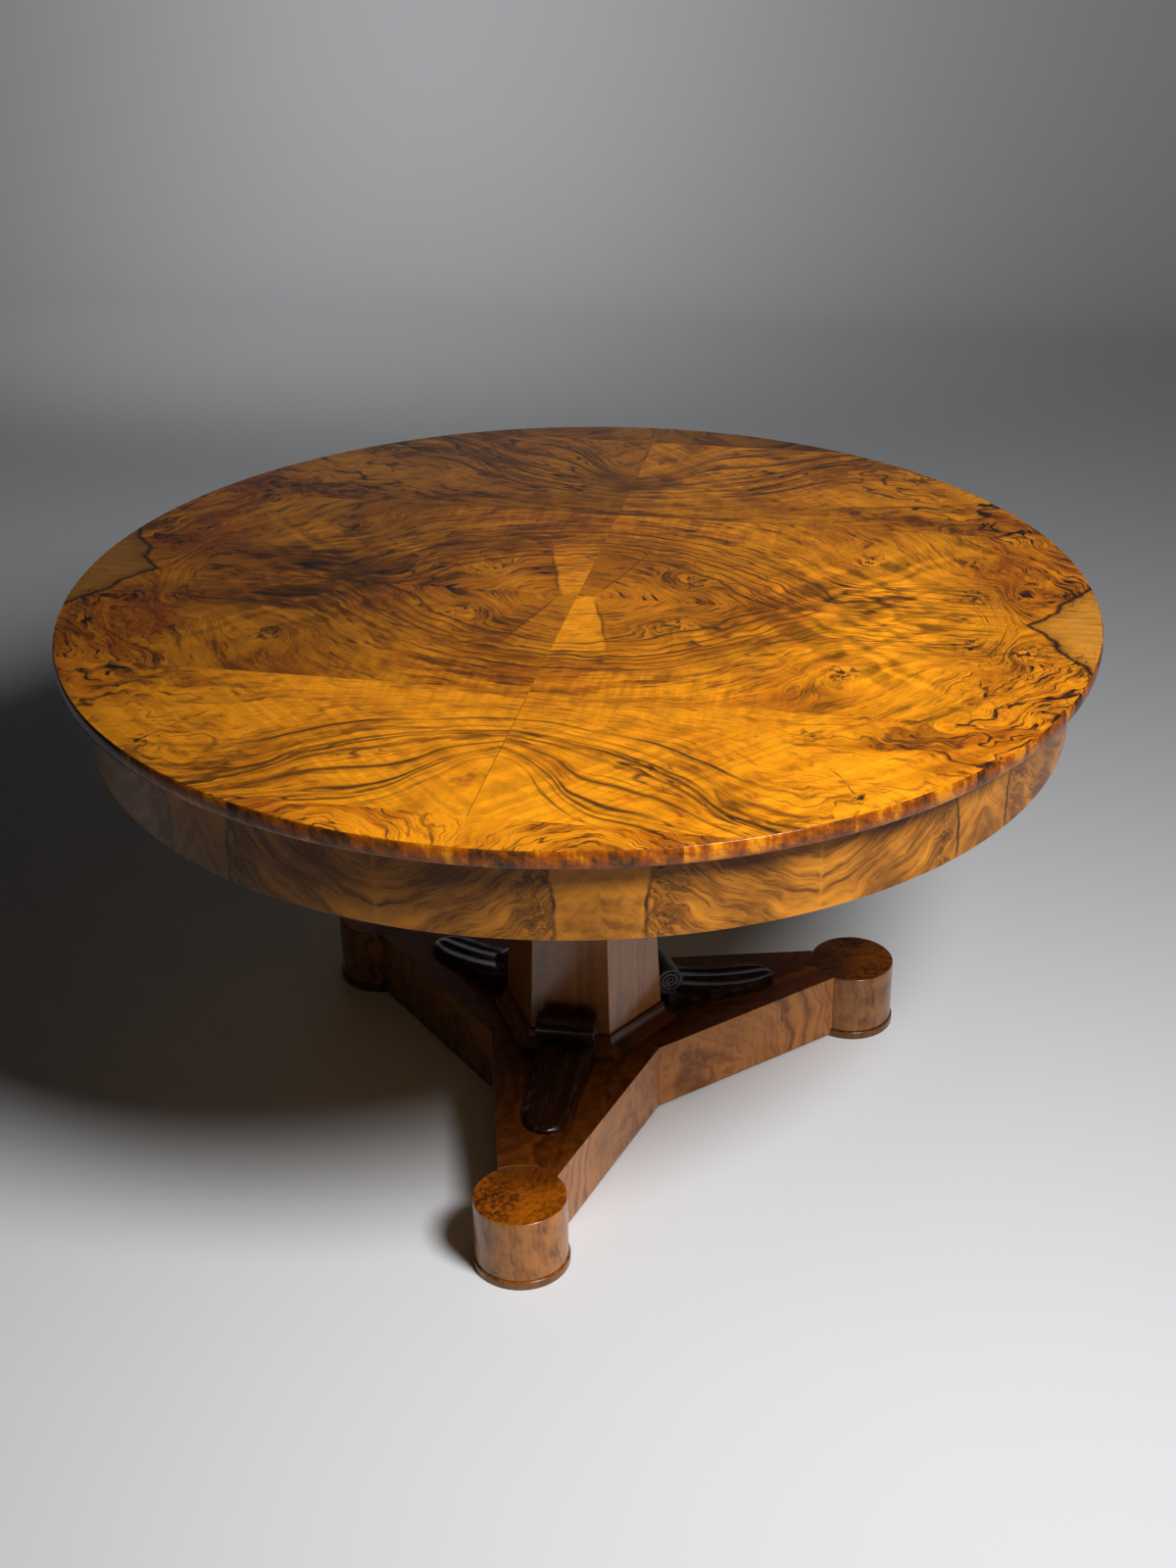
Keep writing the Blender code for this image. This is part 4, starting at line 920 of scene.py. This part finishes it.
def close(piece):
    """Merge doubles, turn the faces outward and smooth what is round."""
    bpy.ops.mesh.select_all(action="SELECT")
    bpy.ops.mesh.remove_doubles(threshold=MERGE)
    bpy.ops.mesh.normals_make_consistent(inside=False)
    bpy.ops.object.mode_set(mode="OBJECT")
    bpy.ops.object.shade_smooth_by_angle(angle=CREASE)
    return piece


def remove(piece):
    """Delete a piece that only served as a pattern."""
    bpy.data.objects.remove(piece, do_unlink=True)


def moved_copy(piece, matrix):
    """Copy of a piece with its own mesh, moved by a matrix."""
    copy = piece.copy()
    copy.data = piece.data.copy()
    copy.data.transform(matrix)
    bpy.context.collection.objects.link(copy)
    return copy


def mirrored_copy(piece, hand, side):
    """Copy of a piece with its own mesh, mirrored to one quarter of the top."""
    copy = moved_copy(piece, Matrix.Diagonal((hand, side, 1.0, 1.0)))
    if hand * side < 0:
        copy.data.flip_normals()
    return copy


def choose(piece):
    """Make a piece the only one selected, and the one that operators work on."""
    bpy.ops.object.select_all(action="DESELECT")
    piece.select_set(True)
    bpy.context.view_layer.objects.active = piece


def merged_copy(node):
    """Copy of a CAD node with its triangles joined into whole faces."""
    piece = bpy.data.objects.new(node, frame["nodes"][node].data.copy())
    bpy.context.collection.objects.link(piece)
    choose(piece)
    bpy.ops.object.mode_set(mode="EDIT")
    bpy.ops.mesh.select_all(action="SELECT")
    bpy.ops.mesh.remove_doubles(threshold=MERGE)
    bpy.ops.mesh.dissolve_limited(angle_limit=math.radians(0.5))
    bpy.ops.object.mode_set(mode="OBJECT")
    return piece


def apply(piece, kind, **settings):
    """Work a modifier into a piece."""
    bpy.context.view_layer.objects.active = piece
    modifier = piece.modifiers.new(kind.lower(), kind)
    for name, value in settings.items():
        setattr(modifier, name, value)
    bpy.ops.object.modifier_apply(modifier=modifier.name)


def settle(piece, name, finish, slot, *nodes):
    """Keep a piece's flats flat, name it, give it its finish and let it stand for its CAD nodes."""
    apply(piece, "WEIGHTED_NORMAL", keep_sharp=True)
    piece.name = name
    piece.data.name = name
    piece.data.materials.clear()
    piece.data.materials.append(finish)
    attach(piece, "root")
    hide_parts(*nodes)


def dressed(node, name, finish, slot, width):
    """Let a copy of a CAD node with softened edges stand for the node."""
    piece = merged_copy(node)
    apply(piece, "BEVEL", width=width, segments=2, limit_method="ANGLE", angle_limit=CREASE)
    choose(piece)
    bpy.ops.object.shade_smooth_by_angle(angle=CREASE)
    settle(piece, name, finish, slot, node)


def evenly(count, first=0.0):
    """Turns of like pieces round the table's axis, by their numbers."""
    return {k + 1: first + k * FULL_TURN / count for k in range(count)}


def spread(pattern, turns, name, finish, slot, node):
    """Settle a copy of a pattern at each of some turns about the table's axis, then delete the pattern."""
    for label, degrees in turns.items():
        piece = moved_copy(pattern, Matrix.Rotation(math.radians(degrees), 4, "Z"))
        settle(piece, f"{name}_{label}", finish, slot, f"{node}_{label}")
    remove(pattern)


def quarter(centre, across, height, first, last, steps):
    """Points along part of an ellipse in section, angles in degrees from the outward side."""
    turns = [math.radians(first + (last - first) * i / steps) for i in range(steps + 1)]
    return [(centre[0] + across * math.cos(t), centre[1] + height * math.sin(t)) for t in turns]


class TABLE_OT_top_leaves(bpy.types.Operator):
    """Lay the twelve book-matched leaves on the top"""

    bl_idname = "table.top_leaves"
    bl_label = "Top leaves"

    def execute(self, context):
        sizes = context.scene.table_sizes
        colours = context.scene.table_colours
        finishes = {"inner": inner_leaf(colours), "outer": outer_leaf(colours), "rim": rim_leaf(colours)}
        for sheet, finish in finishes.items():
            node = f"top_veneer_{sheet}_back_right"
            low, high = span(node)
            bottom, top = levels(node)
            radius = radii(node)[1]
            leaf = start(
                bpy.ops.mesh.primitive_cylinder_add,
                vertices=sizes.round_steps,
                radius=radius,
                depth=top - bottom,
                location=(0.0, 0.0, (top + bottom) / 2),
            )
            saw((sizes.hairline / 2, 0.0, 0.0), (1.0, 0.0, 0.0))
            saw((0.0, low, 0.0), (0.0, 1.0, 0.0))
            if sheet != "rim":
                saw((0.0, high, 0.0), (0.0, -1.0, 0.0))
            ease(leaf, lambda co: co.z > top - MERGE and co.xy.length > radius - MERGE, sizes.rim_arris)
            close(leaf)
            for side_name, side in SIDES.items():
                for hand_name, hand in HANDS.items():
                    piece = mirrored_copy(leaf, hand, side)
                    name = f"{sheet}_{side_name}_{hand_name}"
                    settle(piece, f"leaf_{name}", finish, "walnut_top", f"top_veneer_{name}")
            remove(leaf)
        return {"FINISHED"}


class TABLE_OT_rim_mouldings(bpy.types.Operator):
    """Bend the cross-banded mouldings round the rim"""

    bl_idname = "table.rim_mouldings"
    bl_label = "Rim mouldings"

    def execute(self, context):
        sizes = context.scene.table_sizes
        finish = cross_banding(context.scene.table_colours)
        inner, outer = radii("edge_moulding_1")
        bottom, top = levels("edge_moulding_1")
        swell = CAD_BOX[1].z - sizes.rim_swell
        upper = quarter((outer - sizes.rim_ease, swell), sizes.rim_ease, top - swell, 90.0, 0.0, 8)
        lower = quarter((outer - sizes.rim_tuck, swell), sizes.rim_tuck, swell - bottom, 0.0, -90.0, 10)
        joint = math.degrees(sizes.hairline / outer)
        moulding = section([(inner, top), *upper, *lower[1:], (inner, bottom)])
        swing(FULL_TURN / RIM_LENGTHS - joint, sizes.round_steps // RIM_LENGTHS)
        close(moulding)
        spread(moulding, evenly(RIM_LENGTHS), "rim_moulding", finish, "walnut_edge", "edge_moulding")
        return {"FINISHED"}


class TABLE_OT_apron_sheets(bpy.types.Operator):
    """Bend the veneer sheets round the apron"""

    bl_idname = "table.apron_sheets"
    bl_label = "Apron veneer"

    def execute(self, context):
        sizes = context.scene.table_sizes
        finish = apron_walnut(context.scene.table_colours)
        inner, outer = radii("apron_veneer_1")
        bottom, top = levels("apron_veneer_1")
        round_off = min(sizes.apron_round, (outer - inner) * 0.9)
        corner = quarter((outer - round_off, bottom + round_off), round_off, round_off, 0.0, -90.0, 5)
        joint = math.degrees(sizes.hairline / outer)
        sheet = section([(inner, top), (outer, top), *corner, (inner, bottom)])
        swing(FULL_TURN / APRON_SHEETS - joint, sizes.round_steps // APRON_SHEETS)
        close(sheet)
        turns = evenly(APRON_SHEETS, APRON_FIRST)
        spread(sheet, turns, "apron_sheet", finish, "walnut_apron", "apron_veneer")
        return {"FINISHED"}


class TABLE_OT_joinery(bpy.types.Operator):
    """Finish the pine and iron pieces inside the table"""

    bl_idname = "table.joinery"
    bl_label = "Hidden joinery"

    def execute(self, context):
        sizes = context.scene.table_sizes
        colours = context.scene.table_colours
        lengthwise = pine(colours, "pine_along_x", "x")
        crosswise = pine(colours, "pine_along_y", "y")
        curved = pine(colours, "pine_round", "round")
        iron = forged_iron(colours)
        boards = [f"top_core_board_{k}" for k in range(1, CORE_BOARDS + 1)]
        for node in (*boards, "bearer_lower", "column_head_block"):
            self.keep(node, lengthwise)
        for node in ("bearer_upper", "column_foot_block"):
            self.keep(node, crosswise)
        for k in range(1, FELLOES + 1):
            dressed(f"apron_felloe_{k}", f"felloe_{k}", curved, "pine_frame", sizes.arris)
        for part in ("rod", "rod_washer", "rod_nut"):
            dressed(f"tie_{part}", part, iron, "iron", sizes.arris)
        return {"FINISHED"}

    def keep(self, node, finish):
        """Show a CAD node as it is, in a better finish."""
        frame["nodes"][node].material_slots[0].material = finish


class TABLE_OT_column_staves(bpy.types.Operator):
    """Mitre the six staves of the column"""

    bl_idname = "table.column_staves"
    bl_label = "Column staves"

    def execute(self, context):
        sizes = context.scene.table_sizes
        finish = column_walnut(context.scene.table_colours)
        corners = [corner.co for corner in frame["nodes"]["column_stave_1"].data.vertices]
        bottom, top = levels("column_stave_1")
        foot = [co.xy.length for co in corners if co.z < bottom + MERGE]
        head = [co.xy.length for co in corners if co.z > top - MERGE]
        stave = section([(min(foot), bottom), (max(foot), bottom), (max(head), top), (min(head), top)])
        swing(COLUMN_TURN - math.degrees(sizes.hairline / max(foot)), 1)
        middle = (max(foot) + min(foot)) / 2
        taper = (max(head) - max(foot)) / (top - bottom)
        ease(stave, lambda co: co.xy.length > middle + (co.z - bottom) * taper, sizes.arris)
        close(stave)
        spread(stave, evenly(COLUMN_SIDES, FRONT), "stave", finish, "walnut_column", "column_stave")
        return {"FINISHED"}


class TABLE_OT_plinth_lengths(bpy.types.Operator):
    """Run the plinth moulding round the foot of the column"""

    bl_idname = "table.plinth_lengths"
    bl_label = "Plinth moulding"

    def execute(self, context):
        sizes = context.scene.table_sizes
        finish = plinth_walnut(context.scene.table_colours)
        bottom, top = levels("plinth_moulding_1")
        corners = [corner.co for corner in frame["nodes"]["plinth_moulding_1"].data.vertices]
        back = {level: min(-co.y for co in corners if abs(co.z - level) < MERGE) for level in (bottom, top)}
        outer = max(-co.y for co in corners)
        lip = back[top] + sizes.plinth_lip
        shoulder = bottom + sizes.plinth_fillet
        cove = quarter((outer, top), outer - lip, top - shoulder, 180.0, 270.0, 12)
        edge = sizes.arris * 2
        rounded = quarter((outer - edge, shoulder - edge), edge, edge, 90.0, 0.0, 3)
        outline = [(back[bottom], bottom), (back[top], top), *cove[:-1], *rounded, (outer, bottom)]
        length = section([(across / FACE, height) for across, height in outline])
        swing(COLUMN_TURN, 1)
        close(length)
        turns = evenly(COLUMN_SIDES, FRONT)
        spread(length, turns, "plinth_length", finish, "walnut_plinth", "plinth_moulding")
        return {"FINISHED"}


class TABLE_OT_brackets(bpy.types.Operator):
    """Carve the three scroll brackets"""

    bl_idname = "table.brackets"
    bl_label = "Scroll brackets"

    # Lengths in metres, shares of the volute's radius, and counts along and across the leaf
    root_half = 0.040
    rib_depth = 0.0006
    seat_inset = 0.001
    eye_radius = 0.0042
    eye_dome = 0.0012
    eye_proud = 0.002
    growth = 0.2
    spring = 0.6
    lobes = 4
    flutes = 3
    ribs = 9

    def execute(self, context):
        sizes = context.scene.table_sizes
        finish = bracket_stain(context.scene.table_colours)
        low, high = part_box("scroll_bracket_front")
        floor = low.z
        reach = -low.y
        back = -high.y
        half = min(-low.x, high.x) - self.eye_proud
        arm_top = levels("platform_arm_front")[1]
        step = levels("plinth_moulding_1")[1] + (floor - arm_top)
        heel = -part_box("plinth_moulding_1")[0].y + (floor - arm_top)
        axis = (back + sizes.volute_radius * (1 + self.growth), arm_top + sizes.volute_rise)
        spring = axis[1] - sizes.volute_radius * self.spring
        leaf = self.leaf(sizes, heel, reach, floor, spring - floor)
        seat = start(
            bpy.ops.mesh.primitive_cube_add,
            size=1.0,
            location=((back + axis[0]) / 2, 0.0, (step + axis[1]) / 2),
            scale=(axis[0] - back, 2 * half - self.seat_inset, axis[1] - step),
        )
        ease(seat, lambda co: True, sizes.arris)
        close(seat)
        roll = self.volute(sizes, axis, half)
        for part in (seat, roll):
            apply(leaf, "BOOLEAN", operation="UNION", solver="EXACT", object=part)
            remove(part)
        choose(leaf)
        bpy.ops.object.shade_smooth_by_angle(angle=CREASE)
        spread(leaf, FEET, "carved_bracket", finish, "dark_bracket", "scroll_bracket")
        return {"FINISHED"}

    def leaf(self, sizes, root, reach, floor, root_height):
        """Ribbed leaf along +X, sunk towards its rounded tip."""
        length = reach - root
        shoulder = reach - sizes.leaf_end

        def half_width(x):
            if x > shoulder:
                return sizes.leaf_width * math.sqrt(max(0.0, 1 - ((x - shoulder) / sizes.leaf_end) ** 2))
            share = (x - root) / (shoulder - root)
            plain = self.root_half + (sizes.leaf_width - self.root_half) * share
            return plain - sizes.lobe_depth * (1 - abs(math.sin(math.pi * self.lobes * share)))

        def mould(along, across, height):
            share = math.sin((along + 0.5) * math.pi / 2)
            over = 2 * across
            x = root + length * share
            crown = sizes.leaf_tip + (root_height - sizes.leaf_tip) * (1 - share) ** 2
            fade = math.sin(math.pi * share) ** 0.7
            flute = sizes.flute_depth * fade * math.sin(math.pi * self.flutes * over / 2) ** 2
            fine = self.rib_depth * fade * math.sin(math.pi * self.ribs * over) ** 2
            drop = sizes.leaf_roll * over ** 4
            tip = 1 - 0.5 * max(0.0, (share - 0.9) / 0.1) ** 2
            return (x, half_width(x) * over, floor + (crown - flute - fine - drop) * tip)

        leaf = start(bpy.ops.mesh.primitive_grid_add, x_subdivisions=90, y_subdivisions=60, size=1.0)
        shape(leaf, mould)
        bpy.ops.mesh.extrude_region()
        bm = bmesh.from_edit_mesh(leaf.data)
        for corner in bm.verts:
            if corner.select:
                corner.co.z = floor
        bmesh.update_edit_mesh(leaf.data)
        return close(leaf)

    def volute(self, sizes, axis, half):
        """Rolled end across the bracket, with a spiral and an eye on both of its faces."""
        rings = 44
        barrel = 8
        crease = 60.0
        sweep = 240.0

        def outer(turn):
            degrees = math.degrees(turn) % FULL_TURN
            wound = (degrees + crease) % FULL_TURN
            return sizes.volute_radius * (1 + self.growth * min(wound, sweep) / sweep)

        def mould(along, across, height):
            turn = math.tau * (along + 0.5)
            row = (across + 0.5) * (2 * rings + barrel)
            if row < rings:
                share, y = row / rings, -half
            elif row > rings + barrel:
                share, y = (2 * rings + barrel - row) / rings, half
            else:
                share, y = 1.0, half * (2 * (row - rings) / barrel - 1)
            radius = share * outer(turn)
            if share < 1.0:
                phase = (radius / sizes.spiral_pitch - turn / math.tau) % 1.0
                groove = sizes.spiral_depth * (2 * phase - 1) ** 6
                if radius < self.eye_radius:
                    groove = -self.eye_dome * math.cos(radius / self.eye_radius * math.pi / 2)
                y -= math.copysign(groove, y)
            return (axis[0] + radius * math.cos(turn), y, axis[1] + radius * math.sin(turn))

        roll = start(
            bpy.ops.mesh.primitive_grid_add, x_subdivisions=96, y_subdivisions=2 * rings + barrel, size=1.0
        )
        shape(roll, mould)
        return close(roll)


class TABLE_OT_arms(bpy.types.Operator):
    """Finish the three arms of the platform"""

    bl_idname = "table.arms"
    bl_label = "Platform arms"

    def execute(self, context):
        sizes = context.scene.table_sizes
        finish = platform_walnut(context.scene.table_colours)
        for side in FEET:
            dressed(f"platform_arm_{side}", f"arm_{side}", finish, "walnut_platform", sizes.arris)
        return {"FINISHED"}


class TABLE_OT_feet(bpy.types.Operator):
    """Turn the three drum feet and their bases"""

    bl_idname = "table.feet"
    bl_label = "Drum feet"

    def execute(self, context):
        sizes = context.scene.table_sizes
        finish = foot_walnut(context.scene.table_colours)
        low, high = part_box("foot_drum_front")
        out = -(low.y + high.y) / 2
        radius = (high.y - low.y) / 2
        edge = sizes.foot_round
        groove = sizes.foot_groove
        drum = [
            (0.0, high.z),
            *quarter((radius - edge, high.z - edge), edge, edge, 90.0, 0.0, 6),
            (radius, low.z + groove),
            (radius - groove, low.z),
            (0.0, low.z),
        ]
        base_low, base_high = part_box("foot_base_front")
        base_radius = (base_high.y - base_low.y) / 2
        base = [
            (0.0, base_high.z),
            *quarter((base_radius - edge, base_high.z - edge), edge, edge, 90.0, 0.0, 6),
            (base_radius, base_low.z + sizes.arris),
            (base_radius - sizes.arris, base_low.z),
            (0.0, base_low.z),
        ]
        for part, outline in (("drum", drum), ("base", base)):
            foot = section(outline, "NOTHING")
            swing(FULL_TURN, sizes.foot_steps)
            close(foot)
            foot.data.transform(Matrix.Translation((out, 0.0, 0.0)))
            spread(foot, FEET, part, finish, "walnut_feet", f"foot_{part}")
        return {"FINISHED"}


class TABLE_OT_studio(bpy.types.Operator):
    """Set up the paper, the light and the camera"""

    bl_idname = "table.studio"
    bl_label = "Studio"

    def execute(self, context):
        studio = context.scene.table_studio
        paper = self.backdrop(studio)
        self.light(context, studio, paper)
        self.camera(context, studio)
        context.scene.view_settings.view_transform = "Standard"
        return {"FINISHED"}

    def backdrop(self, studio):
        """Floor that sweeps up into a wall behind the table."""
        back = studio.depth
        paper = start(bpy.ops.mesh.primitive_plane_add, size=back * 2)
        saw((studio.reach, -studio.reach, 0.0), (-1.0, 1.0, 0.0))
        pick(paper, lambda co: abs(co.y - back) < MERGE)
        bpy.ops.mesh.extrude_region_move(TRANSFORM_OT_translate={"value": (0.0, 0.0, studio.height)})
        ease(paper, lambda co: abs(co.y - back) < MERGE and abs(co.z) < MERGE, studio.sweep, 24)
        bpy.ops.object.mode_set(mode="OBJECT")
        bpy.ops.object.shade_smooth()
        paper.name = "studio_paper"
        paper.data.materials.append(seamless(studio))
        return paper

    def light(self, context, studio, paper):
        """Soft light from the right, one for the backdrop, one from behind, and a little from all round."""
        top = CAD_BOX[1].z
        self.lamp(context, "key", (0.0, 0.0, top))
        wall = self.lamp(context, "wall", (studio.wall_place[0], studio.depth, studio.wall_level))
        wall.data.spread = studio.wall_spread
        fill = self.lamp(context, "fill", (0.0, 0.0, top / 2))
        spared = bpy.data.collections.new("paper_without_fill")
        spared.objects.link(paper)
        spared.collection_objects[0].light_linking.link_state = "EXCLUDE"
        fill.light_linking.receiver_collection = spared
        fill.visible_glossy = False
        world = bpy.data.worlds.new("studio_air")
        context.scene.world = world
        world.use_nodes = True
        air = world.node_tree.nodes["Background"]
        air.inputs["Color"].default_value = (1.0, 1.0, 1.0, 1.0)
        seen = Wire(world.node_tree).add("ShaderNodeLightPath", {}, {}, "Is Camera Ray")
        strength = seen * (studio.air - studio.ambient) + studio.ambient
        world.node_tree.links.new(strength.socket, air.inputs["Strength"])

    def lamp(self, context, name, aim):
        """Round soft light with the settings of its name, aimed at a point."""
        studio = context.scene.table_studio
        at = getattr(studio, f"{name}_place")
        bpy.ops.object.light_add(type="AREA", location=at)
        lamp = context.object
        lamp.name = f"{name}_light"
        lamp.data.shape = "DISK"
        lamp.data.size = getattr(studio, f"{name}_size")
        lamp.data.energy = getattr(studio, f"{name}_power")
        lamp.data.spread = math.pi
        lamp.rotation_euler = (Vector(aim) - Vector(at)).to_track_quat("-Z", "Y").to_euler()
        return lamp

    def camera(self, context, studio):
        """Camera at the photograph's viewing angle."""
        bpy.ops.object.camera_add(location=studio.camera_place)
        camera = context.object
        camera.name = "view"
        camera.data.sensor_fit = "HORIZONTAL"
        camera.data.sensor_width = studio.film
        camera.data.lens = studio.lens
        turn = Matrix.Rotation(studio.camera_turn, 3, "Z")
        tilt = Matrix.Rotation(math.pi / 2 - studio.camera_dip, 3, "X")
        lean = Matrix.Rotation(studio.camera_roll, 3, "Z")
        camera.rotation_euler = (turn @ tilt @ lean).to_euler()
        context.scene.camera = camera


OPERATORS = (
    TABLE_OT_top_leaves,
    TABLE_OT_rim_mouldings,
    TABLE_OT_apron_sheets,
    TABLE_OT_joinery,
    TABLE_OT_column_staves,
    TABLE_OT_plinth_lengths,
    TABLE_OT_brackets,
    TABLE_OT_arms,
    TABLE_OT_feet,
    TABLE_OT_studio,
)


class TABLE_PT_pieces(bpy.types.Panel):
    """Lists the pieces of the table with their sizes and colours"""

    bl_idname = "TABLE_PT_pieces"
    bl_label = "Centre table"
    bl_space_type = "VIEW_3D"
    bl_region_type = "UI"
    bl_category = "Centre table"

    def draw(self, context):
        """Show a button for each group of pieces, then every setting."""
        for operator in OPERATORS:
            self.layout.operator(operator.bl_idname)
        for settings in (context.scene.table_sizes, context.scene.table_colours, context.scene.table_studio):
            column = self.layout.column()
            for name in settings.__annotations__:
                column.prop(settings, name)


CLASSES = (TableSizes, TableColours, StudioSettings, *OPERATORS, TABLE_PT_pieces)


def register():
    """Add the settings, operators and panel to Blender."""
    for item in CLASSES:
        bpy.utils.register_class(item)
    bpy.types.Scene.table_sizes = PointerProperty(type=TableSizes)
    bpy.types.Scene.table_colours = PointerProperty(type=TableColours)
    bpy.types.Scene.table_studio = PointerProperty(type=StudioSettings)


def unregister():
    """Take the settings, operators and panel out again."""
    del bpy.types.Scene.table_sizes
    del bpy.types.Scene.table_colours
    del bpy.types.Scene.table_studio
    for item in reversed(CLASSES):
        bpy.utils.unregister_class(item)


def main():
    """Make every piece of the table and set up the studio."""
    register()
    for name in list(bpy.data.objects.keys()):
        if name in ("Cube", "Camera", "Light"):
            remove(bpy.data.objects[name])
    for operator in OPERATORS:
        group, name = operator.bl_idname.split(".")
        getattr(getattr(bpy.ops, group), name)()
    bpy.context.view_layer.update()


if __name__ == "__main__":
    main()
